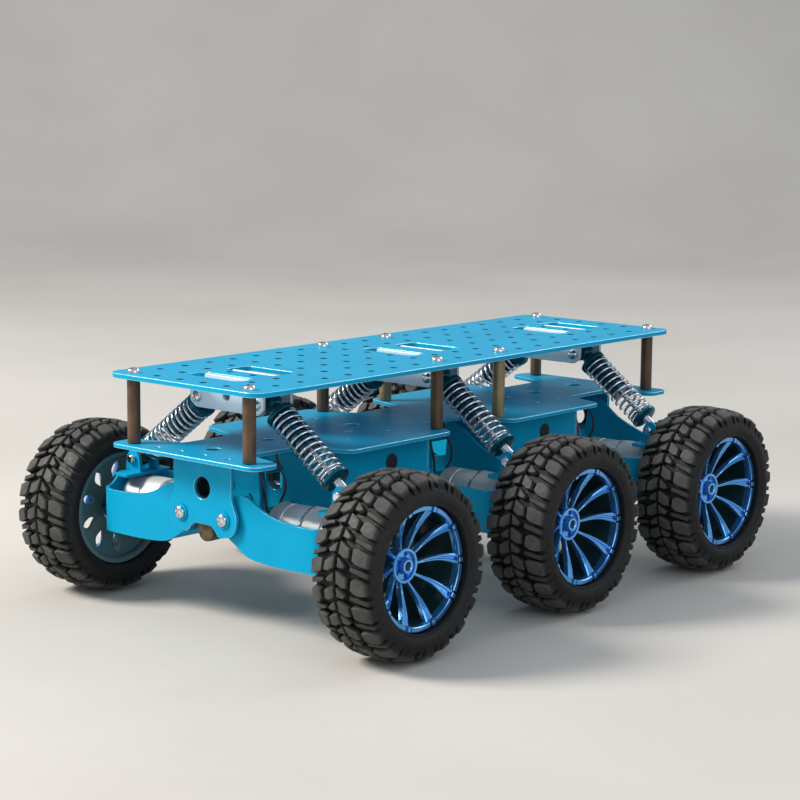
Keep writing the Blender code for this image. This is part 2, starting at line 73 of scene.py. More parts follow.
MM = 0.001
DRAW = random.Random(11)


def joint_place(name):
    return Vector(next(joint["pos_m"] for joint in frame["joints"] if joint["name"] == name)) / MM


def node_box(name):
    """Lowest and highest corner of a CAD node in millimetres."""
    low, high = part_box(name)
    return low / MM, high / MM


# Places read from the frame
PLACES = ("front", "mid", "rear")
SIDES = {"right": 1, "left": -1}
AXLES = {place: joint_place(f"wheel_spin_{place}_right").y for place in PLACES}
WHEEL = joint_place("wheel_spin_mid_right")
PIVOT = joint_place("arm_swing_mid_right")
EYE = joint_place("shock_tilt_mid_right")
TOP_LOW, TOP_HIGH = node_box("top_plate")
DECK_LOW, DECK_HIGH = node_box("lower_deck")
POST_LOW, POST_HIGH = node_box("post_front_right")
TYRE_LOW, TYRE_HIGH = node_box("tyre_mid_right")
ARM_LOW, ARM_HIGH = node_box("swing_arm_mid_right")
ROD_HALF_Y = node_box("pivot_rod_right")[1].y

# Plates
TOP_THICK = 3.0
TOP_UNDER = TOP_HIGH.z - TOP_THICK
DECK_Z, DECK_THICK = POST_LOW.z - 0.4, 2.5
SCREW_X, SCREW_END_Y, SCREW_MID_Y = 49.0, 197.0, 31.0
HOLE_R, HOLE_PITCH_X, HOLE_PITCH_Y = 2.3, 19.6, 20.6
SLOTS = ((-17.0, 22.0, 7.5), (16.0, 21.0, 10.5))
NOTCH_IN_X, NOTCH_IN_Y, NOTCH_OUT_Y = 29.0, 21.0, 30.5
END_WALL_Y, END_WALL_THICK, WALL_THICK = 188.0, 2.5, 2.0
FRONT_SLEEVE, REAR_SLEEVE = 17.0, 2.6
BULKHEADS = (-125.5, -33.5, 29.5, 121.5)
SKIRT_X, SKIRT_LOW_Z = 44.0, 76.0
BRACKET_IN_Y, BRACKET_HALF_X = 10.5, 31.0
BRACKET_LOW_Z = node_box("top_plate")[0].z

# Shocks, as distances from the upper eye towards the lower one
EYE_LOW = Vector((88.0, 0.0, 90.0))
SHOCK_LENGTH = math.hypot(EYE_LOW.x - EYE.x, EYE_LOW.z - EYE.z)
SHOCK_ANGLE = math.atan2(EYE_LOW.x - EYE.x, EYE.z - EYE_LOW.z)
COLLAR_END, SEAT_AT = 12.0, 64.0
COIL_R, WIRE_R, COIL_TURNS = 8.1, 0.85, 12
CYLINDER_R, SEAT_R = 6.6, 9.2

# Arms and motors
ARM_FRONT_Y, ARM_REAR_Y, ARM_WALL, ARM_BEND = -29.0, 27.0, 2.0, 9.0
MOTOR_Z, MOTOR_R, GEARBOX_R = 64.8, 13.7, 14.5

# Wheels
TYRE_R, TYRE_HALF_WIDTH, BEAD_R = 55.0, 23.0, 37.0
TREAD_PITCHES = 20
TREAD_FALL = 6.0
SPOKES, RING_SPREAD = 10, 1.075
# The rim barrel is painted shade outward of this x and keeps the dish's own grey-teal inward of it.
BAND_X = -15.5


# Materials

def add_node(tree, kind, values=None, inputs=None, **settings):
    made = tree.nodes.new("ShaderNode" + kind)
    for name, value in settings.items():
        setattr(made, name, value)
    for socket, value in (values or {}).items():
        made.inputs[socket].default_value = value
    for socket, source in (inputs or {}).items():
        tree.links.new(source, made.inputs[socket])
    return made


def noise_from(tree, vector, scale, detail=3.0):
    return add_node(tree, "TexNoise", {"Scale": scale, "Detail": detail}, {"Vector": vector}).outputs[0]


def ranged(tree, value, source, target):
    limits = {"From Min": source[0], "From Max": source[1], "To Min": target[0], "To Max": target[1]}
    return add_node(tree, "MapRange", limits, {"Value": value}).outputs[0]


def mixed(tree, factor, first, second):
    """A colour mix; first and second are colours or sockets."""
    made = add_node(tree, "Mix", data_type="RGBA")
    tree.links.new(factor, made.inputs[0])
    for index, colour in ((6, first), (7, second)):
        if isinstance(colour, bpy.types.NodeSocket):
            tree.links.new(colour, made.inputs[index])
        else:
            made.inputs[index].default_value = (*colour, 1.0)
    return made.outputs[2]


def finish(name, colour, second, metallic, rough, stretch=(1, 1, 1), broad=25.0, fine=900.0, bump=0.15, **own):
    """A material with a slow colour change, a fine grain in its roughness and a matching bump."""
    made = bpy.data.materials.new(name)
    made.use_nodes = True
    tree = made.node_tree
    shader = tree.nodes["Principled BSDF"]
    shader.inputs["Metallic"].default_value = metallic
    for socket, value in own.items():
        shader.inputs[socket.replace("_", " ")].default_value = value
    place = add_node(tree, "TexCoord").outputs["Object"]
    grain_place = add_node(tree, "Mapping", {"Scale": stretch}, {"Vector": place}).outputs[0]
    slow = noise_from(tree, place, broad)
    grain = noise_from(tree, grain_place, fine, 4.0)
    colours = mixed(tree, ranged(tree, slow, (0.35, 0.65), (0.0, 1.0)), colour, second)
    tree.links.new(colours, shader.inputs["Base Color"])
    roughness = ranged(tree, grain, (0.3, 0.7), rough)
    tree.links.new(roughness, shader.inputs["Roughness"])
    relief = add_node(tree, "Bump", {"Strength": bump, "Distance": 0.0002}, {"Height": grain})
    tree.links.new(relief.outputs[0], shader.inputs["Normal"])
    return made


def tyre_finish():
    """Rubber that is dark in the grooves and on the walls, and scuffed and dusty on the lugs."""
    made = finish("tyre_rubber", (0.0055, 0.0053, 0.0050), (0.0095, 0.0088, 0.0080), 0.0, (0.5, 0.75), fine=420.0, bump=0.7,
                  Specular_IOR_Level=0.3)
    tree = made.node_tree
    shader = tree.nodes["Principled BSDF"]
    place = add_node(tree, "TexCoord").outputs["Object"]
    around = add_node(tree, "Mapping", {"Scale": (0, 1, 1)}, {"Vector": place}).outputs[0]
    reach = add_node(tree, "VectorMath", None, {0: around}, operation="LENGTH").outputs["Value"]
    across = add_node(tree, "VectorMath", {1: (1, 0, 0)}, {0: place}, operation="DOT_PRODUCT").outputs["Value"]
    square = add_node(tree, "Math", None, {0: across, 1: across}, operation="MULTIPLY").outputs[0]
    level = add_node(tree, "Math", {1: TREAD_FALL}, {0: square, 2: reach}, operation="MULTIPLY_ADD").outputs[0]
    height = ranged(tree, level, (0.0515, 0.0545), (0.0, 1.0))
    scuff = ranged(tree, noise_from(tree, place, 160.0, 5.0), (0.3, 0.7), (0.5, 1.0))
    worn = add_node(tree, "Math", None, {0: height, 1: scuff}, operation="MULTIPLY").outputs[0]
    old = shader.inputs["Base Color"].links[0].from_socket
    tree.links.new(mixed(tree, worn, old, (0.072, 0.070, 0.064)), shader.inputs["Base Color"])
    return made


def finishes():
    blue, blue_too = (0.002, 0.310, 0.520), (0.003, 0.335, 0.560)
    return {
        "anodised_blue": finish("anodised_blue", blue, blue_too, 0.15, (0.36, 0.46), fine=1600.0, bump=0.06,
                                Specular_IOR_Level=0.08),
        # painted highlight: a light blue for the chamfers of the blue parts, brighter than the plate
        "painted_edge_highlight": finish("painted_edge_highlight", (0.50, 0.82, 0.94), (0.24, 0.68, 0.86), 0.6, (0.2, 0.32)),
        "hole_shade": finish("hole_shade", (0.002, 0.050, 0.095), (0.002, 0.035, 0.070), 0.3, (0.4, 0.5)),
        "bracket_satin": finish("bracket_satin", (0.66, 0.76, 0.82), (0.54, 0.66, 0.75), 0.3, (0.35, 0.5)),
        "motor_silver": finish("motor_silver", (0.80, 0.79, 0.75), (0.68, 0.67, 0.64), 0.55, (0.30, 0.48),
                               stretch=(30, 1, 1), fine=120.0, bump=0.2),
        "bright_steel": finish("bright_steel", (0.74, 0.74, 0.76), (0.60, 0.60, 0.62), 1.0, (0.12, 0.24)),
        "spring_steel": finish("spring_steel", (0.78, 0.80, 0.82), (0.62, 0.66, 0.70), 1.0, (0.10, 0.2), bump=0.05),
        "post_bronze": finish("post_bronze", (0.150, 0.088, 0.048), (0.085, 0.056, 0.038), 0.55, (0.35, 0.55),
                              stretch=(1, 1, 0.04), broad=90.0, fine=1400.0, bump=0.3),
        "post_brass": finish("post_brass", (0.34, 0.27, 0.15), (0.22, 0.18, 0.11), 0.7, (0.3, 0.5),
                             stretch=(1, 1, 0.04), broad=90.0, fine=1400.0, bump=0.3),
        "coupling_brass": finish("coupling_brass", (0.16, 0.115, 0.06), (0.06, 0.045, 0.03), 0.8, (0.3, 0.5),
                                 broad=160.0),
        "shock_blue": finish("shock_blue", (0.010, 0.075, 0.130), (0.004, 0.035, 0.070), 0.75, (0.10, 0.2),
                             bump=0.04, Coat_Weight=0.6, Coat_Roughness=0.08),
        "shock_cap": finish("shock_cap", (0.006, 0.15, 0.20), (0.004, 0.09, 0.13), 0.6, (0.18, 0.3), bump=0.06),
        "rim_blue": finish("rim_blue", (0.150, 0.470, 0.900), (0.090, 0.350, 0.780), 0.8, (0.12, 0.22), bump=0.05,
                           Coat_Weight=0.5, Coat_Roughness=0.06),
        # painted shade: the dark inside of the rim, on the dish's front side and on most of the barrel
        "rim_painted_shade": finish("rim_painted_shade", (0.009, 0.034, 0.038), (0.005, 0.020, 0.024), 0.0, (0.25, 0.38), bump=0.05,
                            Specular_IOR_Level=0.35),
        "rim_haze": finish("rim_haze", (0.075, 0.165, 0.175), (0.060, 0.135, 0.145), 0.0, (0.28, 0.42), bump=0.05),
        "tyre_rubber": tyre_finish(),
        "black_plastic": finish("black_plastic", (0.012, 0.012, 0.013), (0.02, 0.02, 0.021), 0.0, (0.3, 0.5)),
        "red_lead": finish("red_lead", (0.55, 0.02, 0.012), (0.42, 0.015, 0.01), 0.0, (0.35, 0.5)),
    }


FINISH = finishes()


# Shapes: each is a pair of points in millimetres and faces

def merged(*shapes):
    points, faces = [], []
    for more, more_faces in shapes:
        base = len(points)
        points += [Vector(p) for p in more]
        faces += [tuple(base + k for k in face) for face in more_faces]
    return points, faces


def changed(shape, matrix):
    return [matrix @ Vector(p) for p in shape[0]], shape[1]


def shifted(shape, x=0.0, y=0.0, z=0.0):
    return changed(shape, Matrix.Translation((x, y, z)))


def along_x(shape, x=0.0, y=0.0, z=0.0):
    return shifted(changed(shape, Matrix.Rotation(math.pi / 2, 4, "Y")), x, y, z)


def along_y(shape, x=0.0, y=0.0, z=0.0):
    return shifted(changed(shape, Matrix.Rotation(-math.pi / 2, 4, "X")), x, y, z)


def upright(shape):
    """A shape drawn in XY with its thickness in Z, stood up in XZ with its thickness in Y."""
    return [(x, z, y) for x, y, z in shape[0]], shape[1]


def circle(centre, radius, sides, phase=0.5):
    angles = [2 * math.pi * (k + phase) / sides for k in range(sides)]
    return [(centre[0] + radius * math.cos(a), centre[1] + radius * math.sin(a)) for a in angles]


def rectangle(half_x, half_y, centre=(0.0, 0.0)):
    signs = ((-1, -1), (1, -1), (1, 1), (-1, 1))
    return [(centre[0] + sx * half_x, centre[1] + sy * half_y) for sx, sy in signs]


def rounded(corners, radius, steps=6):
    """The outline with each corner replaced by an arc; radius is one number or one per corner."""
    count = len(corners)
    radii = radius if isinstance(radius, (list, tuple)) else [radius] * count
    points = []
    for k, corner in enumerate(corners):
        here = Vector(corner)
        back = (Vector(corners[k - 1]) - here).normalized()
        ahead = (Vector(corners[(k + 1) % count]) - here).normalized()
        if radii[k] <= 0:
            points.append(tuple(here))
            continue
        half = back.angle(ahead) / 2
        centre = here + (back + ahead).normalized() * (radii[k] / math.sin(half))
        reach = radii[k] / math.tan(half)
        start, end = here + back * reach - centre, here + ahead * reach - centre
        sweep = start.angle_signed(end)
        for step in range(steps + 1):
            points.append(tuple(centre + Matrix.Rotation(-sweep * step / steps, 2) @ start))
    return points


def smooth_line(points, steps=6):
    """A curve through the points, as a polyline."""
    ends = [Vector(p) for p in points]
    ends = [2 * ends[0] - ends[1]] + ends + [2 * ends[-1] - ends[-2]]
    line = []
    for k in range(1, len(ends) - 2):
        before, here, ahead, after = ends[k - 1:k + 3]
        for step in range(steps):
            t = step / steps
            curve = 2 * here + (ahead - before) * t + (2 * before - 5 * here + 4 * ahead - after) * t ** 2
            line.append((curve + (3 * here - before - 3 * ahead + after) * t ** 3) / 2)
    return line + [ends[-2]]


def height_at(line, x):
    """Height of a polyline of (x, height) points at x; the points run up or down in x."""
    ordered = sorted((p[0], p[1]) for p in line)
    if x <= ordered[0][0]:
        return ordered[0][1]
    for (x0, z0), (x1, z1) in zip(ordered, ordered[1:]):
        if x <= x1:
            return z0 + (z1 - z0) * (x - x0) / max(x1 - x0, 1e-6)
    return ordered[-1][1]


def turned(profile, sides=32, closed=False):
    """A round solid about Z from (height, radius) points; closed joins the last to the first."""
    rings = [[(x, y, height) for x, y in circle((0, 0), radius, sides)] for height, radius in profile]
    points = [p for ring in rings for p in ring]
    spans = len(profile) if closed else len(profile) - 1
    faces = []
    for r in range(spans):
        low, high = r * sides, (r + 1) % len(profile) * sides
        faces += [(low + k, low + (k + 1) % sides, high + (k + 1) % sides, high + k) for k in range(sides)]
    if not closed:
        faces += [tuple(range(sides)), tuple(range(len(points) - sides, len(points)))]
    return points, faces


def lofted(sections, ring=False):
    """A solid through sections of equal point counts, capped at both ends unless it is a ring."""
    count = len(sections[0])
    points = [p for section in sections for p in section]
    faces = []
    for k in range(len(sections) if ring else len(sections) - 1):
        low, high = k * count, (k + 1) % len(sections) * count
        faces += [(low + j, low + (j + 1) % count, high + (j + 1) % count, high + j) for j in range(count)]
    if not ring:
        faces += [tuple(range(count)), tuple(range(len(points) - count, len(points)))]
    return points, faces


def extruded(outline, low, high):
    return lofted([[(x, y, z) for x, y in outline] for z in (low, high)])


def tube(line, radius, sides=8):
    """A round wire along a polyline."""
    line = [Vector(p) for p in line]
    across = None
    sections = []
    for k, point in enumerate(line):
        ahead = (line[min(k + 1, len(line) - 1)] - line[max(k - 1, 0)]).normalized()
        if across is None:
            across = ahead.orthogonal().normalized()
        across = (across - ahead * across.dot(ahead)).normalized()
        side = ahead.cross(across)
        sections.append([point + across * x + side * y for x, y in circle((0, 0), radius, sides)])
    return lofted(sections)


def evaluated(item):
    """The shape of an object as its modifiers or its curve make it; the object is removed."""
    bpy.context.scene.collection.objects.link(item)
    bpy.context.view_layer.update()
    mesh = bpy.data.meshes.new_from_object(item.evaluated_get(bpy.context.evaluated_depsgraph_get()))
    bpy.data.objects.remove(item)
    work = bmesh.new()
    work.from_mesh(mesh)
    bmesh.ops.remove_doubles(work, verts=work.verts, dist=0.002)
    points = [v.co.copy() for v in work.verts]
    faces = [tuple(v.index for v in face.verts) for face in work.faces]
    work.free()
    bpy.data.meshes.remove(mesh)
    return points, faces


def plate(loops, low, high, edge=0.35):
    """A flat plate in XY: the first loop is its outline, the others are holes; edge is its chamfer."""
    curve = bpy.data.curves.new("plate", "CURVE")
    curve.dimensions = "2D"
    curve.fill_mode = "BOTH"
    curve.extrude = (high - low) / 2 - edge
    curve.bevel_depth = edge
    curve.bevel_resolution = 2
    curve.offset = -edge
    for loop in loops:
        spline = curve.splines.new("POLY")
        spline.points.add(len(loop) - 1)
        for point, (x, y) in zip(spline.points, loop):
            point.co = (x, y, 0, 1)
        spline.use_cyclic_u = True
    return shifted(evaluated(bpy.data.objects.new("plate", curve)), z=(low + high) / 2)


def cut(shape, *tools):
    """The shape less the tools, which may touch each other."""
    scene = bpy.context.scene.collection.objects
    work = bpy.data.objects.new("work", raw_mesh("work", shape))
    cutters = []
    for tool in tools:
        cutter = bpy.data.objects.new("cutter", raw_mesh("cutter", tool))
        scene.link(cutter)
        cutters.append(cutter)
        step = work.modifiers.new("cut", "BOOLEAN")
        step.operation = "DIFFERENCE"
        step.solver = "EXACT"
        step.object = cutter
    result = evaluated(work)
    for cutter in cutters:
        bpy.data.objects.remove(cutter)
    return result


def raw_mesh(name, shape):
    """A mesh of the shape as it is, with its faces turned outwards."""
    mesh = bpy.data.meshes.new(name)
    mesh.from_pydata([tuple(p) for p in shape[0]], [], shape[1])
    work = bmesh.new()
    work.from_mesh(mesh)
    bmesh.ops.recalc_face_normals(work, faces=work.faces)
    work.to_mesh(mesh)
    work.free()
    return mesh


def mesh_from(name, shape, angle=38.0):
    mesh = raw_mesh(name, shape)
    mesh.transform(Matrix.Scale(MM, 4))
    mesh.shade_smooth()
    mesh.set_sharp_from_angle(angle=math.radians(angle))
    return mesh


def edged(mesh, axis, dark_inside=None):
    """Marks a plate's chamfers with the painted highlight, and the walls of its holes with painted shade.

    axis is the index of the thickness; dark_inside tells from a face's centre if it is a hole's wall.
    """
    for face in mesh.polygons:
        flat = abs(face.normal[axis])
        if 0.15 < flat < 0.95:
            face.material_index = 1
        if flat < 0.95 and dark_inside and dark_inside(face.center / MM):
            face.material_index = 2
    return mesh


def mirrored(mesh):
    other = mesh.copy()
    other.transform(Matrix.Diagonal((-1, 1, 1, 1)))
    other.flip_normals()
    return other


def dress(item, kind, bevel=0.0):
    """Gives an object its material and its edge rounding."""
    if not item.data.materials:
        item.data.materials.append(FINISH[kind])
        # Blue parts also get the painted highlight for their chamfers and painted shade for their hole walls.
        if kind == "anodised_blue":
            item.data.materials.append(FINISH["painted_edge_highlight"])
            item.data.materials.append(FINISH["hole_shade"])
    if bevel:
        step = item.modifiers.new("edges", "BEVEL")
        # The bevel faces of blue parts get the painted highlight.
        step.material = 1 if kind == "anodised_blue" else 0
        step.width = bevel * MM
        step.segments = 2
        step.limit_method = "ANGLE"
        step.angle_limit = math.radians(40)
        step.use_clamp_overlap = True
    weigh = item.modifiers.new("normals", "WEIGHTED_NORMAL")
    weigh.keep_sharp = True


def piece(name, shape, kind, body, place=(0, 0, 0), lean=0.0, bevel=0.0, stands_for=(), angle=38.0):
    """A visible piece of the object that rides on a CAD body; shape is a shape or a finished mesh."""
    mesh = shape if isinstance(shape, bpy.types.Mesh) else mesh_from(name, shape, angle)
    item = bpy.data.objects.new(name, mesh)
    bpy.context.scene.collection.objects.link(item)
    item.matrix_world = Matrix.Translation(Vector(place) * MM) @ Matrix.Rotation(lean, 4, "Y")
    dress(item, kind, bevel)
    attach(item, body)
    if stands_for:
        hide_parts(*stands_for)
    return item


def facing(item, place, way):
    """Puts a fastener at a place, pointing along +Y or -Y."""
    item.matrix_world = Matrix.Translation(place * MM) @ Matrix.Rotation(-way * math.pi / 2, 4, "X")


# Fasteners, each standing on z = 0 and pointing up

def pan_head(radius, height):
    """A domed screw head with a cross recess."""
    dome = [(0, radius), (height * 0.35, radius), (height * 0.68, radius * 0.9), (height * 0.9, radius * 0.66)]
    dome.append((height, radius * 0.35))
    arm, width = radius * 0.62, radius * 0.14
    tools = []
    for turn in (0, math.pi / 2):
        bar = extruded(rectangle(arm, width), height * 0.45, height + 1)
        tools.append(changed(bar, Matrix.Rotation(turn + 0.4, 4, "Z")))
    return cut(turned(dome, 24), *tools)


def washer(outer, inner, thick):
    loop = [(0, inner), (0, outer), (thick, outer), (thick, inner)]
    return turned(loop, 28, closed=True)


def hex_nut(radius, height, bore=1.9):
    """A hexagonal nut with a domed locking ring."""
    hexagon = turned([(0, radius * 0.94), (0.4, radius), (height - 0.4, radius), (height, radius * 0.94)], 6)
    ring = turned([(height - 0.1, radius * 0.74), (height + 0.5, radius * 0.72), (height + 0.9, radius * 0.6)], 24)
    return cut(merged(hexagon), turned([(-1, bore), (height * 0.5, bore)], 20)), ring


# Chassis

def screw_places():
    return [(sx * SCREW_X, sy * y) for sx in (-1, 1) for y in (SCREW_END_Y, SCREW_MID_Y) for sy in (-1, 1)]


def top_plate_shape():
    half_x, half_y = TOP_HIGH.x, TOP_HIGH.y
    slots = [(axle + offset, hx, hy) for axle in AXLES.values() for offset, hx, hy in SLOTS]
    loops = [rounded(rectangle(half_x, half_y), 10.0, 10)]
    for column in range(6):
        for row in range(20):
            x, y = HOLE_PITCH_X * (column - 2.5), HOLE_PITCH_Y * (row - 9.5)
            in_slot = any(abs(x) < hx + 5 and abs(y - sy) < hy + 5 for sy, hx, hy in slots)
            by_screw = any(math.hypot(x - px, y - py) < 8 for px, py in screw_places())
            if not in_slot and not by_screw:
                loops.append(circle((x, y), HOLE_R, 16))
    for centre_y, hx, hy in slots:
        loops.append(rounded(rectangle(hx, hy, (0, centre_y)), 5.0))
    return plate(loops, TOP_UNDER, TOP_HIGH.z)


def deck_outline():
    right, radii = [(DECK_HIGH.x, DECK_LOW.y)], [8.0]
    for axle in AXLES.values():
        right += [(DECK_HIGH.x, axle - NOTCH_OUT_Y), (NOTCH_IN_X, axle - NOTCH_IN_Y)]
        right += [(NOTCH_IN_X, axle + NOTCH_IN_Y), (DECK_HIGH.x, axle + NOTCH_OUT_Y)]
        radii += [8.0, 6.0, 6.0, 8.0]
    right.append((DECK_HIGH.x, DECK_HIGH.y))
    radii.append(8.0)
    left = [(-x, y) for x, y in reversed(right)]
    return rounded(right + left, radii + radii[::-1])


def deck_shape():
    loops = [deck_outline()]
    loops += [circle((0, sy * y), 4.8, 24) for y in (178.0, 132.0, 97.0, 57.0) for sy in (-1, 1)]
    quarter = ((10.0, 196.0), (30.0, 196.0), (30.0, 122.0), (32.0, 97.0), (32.0, 57.0), (16.0, 77.0))
    loops += [circle((sx * x, sy * y), 2.0, 14) for x, y in quarter for sx in (-1, 1) for sy in (-1, 1)]
    return plate(loops, DECK_Z - DECK_THICK, DECK_Z)


def mirrored_outline(right, radii, steps=6):
    left = [(-x, z) for x, z in reversed(right)]
    return rounded(right + left, radii + radii[::-1], steps)


def end_wall_shape():
    right = [(24.5, DECK_Z - 2.6), (24.5, 82.0), (29.0, 72.0), (27.0, 61.0), (14.0, 58.0), (8.0, 65.0)]
    outline = mirrored_outline(right, [0.0, 6.0, 7.0, 8.0, 4.5, 6.0])
    loops = [outline, circle((0, 87.0), 6.8, 28)]
    loops += [circle((x, PIVOT.z), 2.6, 16) for x in (-PIVOT.x, PIVOT.x)]
    return upright(plate(loops, 0, END_WALL_THICK))


def bracket_shape():
    """One side plate of a shock bracket, hanging from the top plate, with a tongue up into its slot."""
    wide, low, high, tongue = BRACKET_HALF_X, BRACKET_LOW_Z, TOP_UNDER - 0.1, TOP_HIGH.z - 0.4
    corners = [(18.5, tongue), (18.5, high), (wide, high), (wide, low + 3.5), (wide - 5.0, low)]
    outline = mirrored_outline(corners, [1.0, 0.0, 0.0, 2.5, 2.0])
    return upright(plate([outline, circle((0, (low + high) / 2), 3.0, 20)], 0, WALL_THICK))


def bulkhead_shape():
    right = [(SKIRT_X, DECK_Z - 2.6), (SKIRT_X, 76.0), (30.0, 62.0)]
    loops = [mirrored_outline(right, [0.0, 4.0, 5.0])]
    loops += [circle((x, PIVOT.z), 2.6, 16) for x in (-PIVOT.x, PIVOT.x)]
    loops.append(circle((0, 86.0), 9.0, 28))
    return upright(plate(loops, 0, WALL_THICK))


def skirt_shape(length):
    """A side skirt in XZ, later turned to run along Y, with one grommet hole."""
    outline = rounded([(0, SKIRT_LOW_Z), (length, SKIRT_LOW_Z), (length, DECK_Z - 2.6), (0, DECK_Z - 2.6)], 2.0)
    return plate([outline, circle((length * 0.62, 92.0), 4.2, 24)], 0, WALL_THICK)


def in_top_hole(point):
    """True where a face of the top plate is the wall of a round hole."""
    in_slot = any(abs(point.x) < hx + 2 and abs(point.y - axle - offset) < hy + 2
                  for axle in AXLES.values() for offset, hx, hy in SLOTS)
    return abs(point.x) < TOP_HIGH.x - 4 and abs(point.y) < TOP_HIGH.y - 4 and not in_slot


def build_plates():
    blue = "anodised_blue"
    top = edged(mesh_from("top_plate_mesh", top_plate_shape()), 2, in_top_hole)
    piece("top_plate_fine", top, blue, "chassis", stands_for=["top_plate"])
    deck = edged(mesh_from("deck_mesh", deck_shape()), 2)
    piece("deck_plate_fine", deck, blue, "chassis", stands_for=["lower_deck"])
    wall = edged(mesh_from("end_wall", end_wall_shape()), 1)
    piece("end_wall_front", wall, blue, "chassis", (0, -END_WALL_Y, 0))
    piece("end_wall_rear", wall, blue, "chassis", (0, END_WALL_Y - END_WALL_THICK, 0))
    bulkhead = edged(mesh_from("cross_wall", bulkhead_shape()), 1)
    for number, y in enumerate(BULKHEADS):
        piece(f"cross_wall_{number}", bulkhead, blue, "chassis", (0, y, 0))
    stand = Matrix(((0, 0, 1, 0), (1, 0, 0, 0), (0, 1, 0, 0), (0, 0, 0, 1)))
    for place, start, end in (("front", BULKHEADS[0], BULKHEADS[1]), ("rear", BULKHEADS[2], BULKHEADS[3])):
        skirt = changed(skirt_shape(end - start - WALL_THICK - 0.4), stand)
        for side, x in (("right", SKIRT_X - WALL_THICK), ("left", -SKIRT_X)):
            piece(f"skirt_{place}_{side}", skirt, blue, "chassis", (x, start + WALL_THICK + 0.2, 0))
    grommet = mesh_from("grommet", turned([(-1.6, 3.4), (-1.3, 4.4), (-1.2, 5.4), (1.2, 5.4), (1.3, 4.4), (1.6, 3.4)], 28))
    for place, start, end in (("front", BULKHEADS[0], BULKHEADS[1]), ("rear", BULKHEADS[2], BULKHEADS[3])):
        y = start + WALL_THICK + 0.2 + (end - start - WALL_THICK - 0.4) * 0.62
        for side, sign in SIDES.items():
            centre = (sign * (SKIRT_X - WALL_THICK / 2), y, 92.0)
            piece(f"grommet_{place}_{side}", grommet, "black_plastic", "chassis", centre, math.pi / 2)


def build_brackets():
    """The pale shock brackets under the top plate, with their pins and screws."""
    plate_mesh = mesh_from("bracket_plate", bracket_shape())
    reach = BRACKET_IN_Y + WALL_THICK
    pin = mesh_from("bracket_pin", along_y(turned([(-reach, 2.0), (reach, 2.0)], 20)))
    head = mesh_from("bracket_screw", pan_head(3.6, 2.2))
    for place, axle in AXLES.items():
        for end, y in (("front", axle - reach), ("rear", axle + BRACKET_IN_Y)):
            piece(f"bracket_{place}_{end}", plate_mesh, "bracket_satin", "chassis", (0, y, 0))
        for side, sign in SIDES.items():
            eye = Vector((sign * EYE.x, axle, EYE.z))
            piece(f"bracket_pin_{place}_{side}", pin, "bright_steel", "chassis", tuple(eye))
            for end, way in (("front", -1), ("rear", 1)):
                name = f"bracket_screw_{place}_{side}_{end}"
                facing(piece(name, head, "bright_steel", "chassis"), eye + Vector((0, way * reach, 0)), way)


def build_posts():
    """Turned posts with a chamfered foot, and the pan heads that hold the top plate down."""
    under = TOP_UNDER - DECK_Z
    profile = [(0.1, 3.6), (0.5, 4.0), (under - 0.6, 4.0), (under - 0.2, 3.6)]
    post_mesh = mesh_from("post", turned(profile, 32))
    brass_mesh = post_mesh.copy()
    head = mesh_from("post_screw", pan_head(4.0, POST_HIGH.z - TOP_HIGH.z - 0.1))
    rows = {"front": -SCREW_END_Y, "mid_front": -SCREW_MID_Y, "mid_rear": SCREW_MID_Y, "rear": SCREW_END_Y}
    for place, y in rows.items():
        for side, sign in SIDES.items():
            kind = "post_brass" if place == "mid_rear" else "post_bronze"
            mesh = brass_mesh if place == "mid_rear" else post_mesh
            at = (sign * SCREW_X, y, DECK_Z)
            node = f"post_{place}_{side}"
            piece(f"{node}_fine", mesh, kind, "chassis", at, stands_for=[node])
            piece(f"screw_{place}_{side}", head, "bright_steel", "chassis", (at[0], y, TOP_HIGH.z))


def build_rods():
    """The two hinge rods, with washers, a screw head in front and a locking nut behind."""
    inner = END_WALL_Y + 0.9
    rod = mesh_from("rod", along_y(turned([(-inner, 2.0), (inner, 2.0)], 24)))
    nut_hex, nut_ring = hex_nut(3.9, 1.2)
    ends = {"head": (mesh_from("rod_head", pan_head(3.9, ROD_HALF_Y - inner)), "bright_steel", -inner),
            "nut": (mesh_from("rod_nut", merged(nut_hex, nut_ring)), "bright_steel", inner)}
    disc = mesh_from("rod_washer", washer(5.4, 2.2, 0.8))
    for side, sign in SIDES.items():
        x = sign * PIVOT.x
        node = f"pivot_rod_{side}"
        piece(f"{node}_fine", rod, "bright_steel", "chassis", (x, 0, PIVOT.z), stands_for=[node])
        for what, (mesh, kind, y) in ends.items():
            way = math.copysign(1, y)
            facing(piece(f"rod_{what}_{side}", mesh, kind, "chassis"), Vector((x, y, PIVOT.z)), way)
            place = Vector((x, way * (END_WALL_Y + 0.05), PIVOT.z))
            facing(piece(f"rod_washer_{what}_{side}", disc, "anodised_blue", "chassis"), place, way)


def build_end_fittings():
    """A dark bronze stop behind the notch of each end wall, and a black sleeve behind its cable hole."""
    profile = [(0.0, 5.6), (0.6, 6.4), (3.0, 6.6), (3.4, 5.8), (4.4, 5.8), (4.8, 6.6), (10.4, 6.4), (11.0, 5.4)]
    stop = mesh_from("stop", turned(profile, 36))
    for end, way, length in (("front", 1, FRONT_SLEEVE), ("rear", -1, REAR_SLEEVE)):
        sleeve = mesh_from("sleeve", turned([(0, 6.4), (0, 7.9), (length, 7.9), (length, 6.4)], 36, closed=True))
        inside = -way * (END_WALL_Y - END_WALL_THICK - 0.1)
        facing(piece(f"bronze_stop_{end}", stop, "coupling_brass", "chassis"), Vector((0, inside, PIVOT.z - 9.6)), way)
        facing(piece(f"cable_sleeve_{end}", sleeve, "black_plastic", "chassis"), Vector((0, inside, 87.0)), way)


# Arms and motors

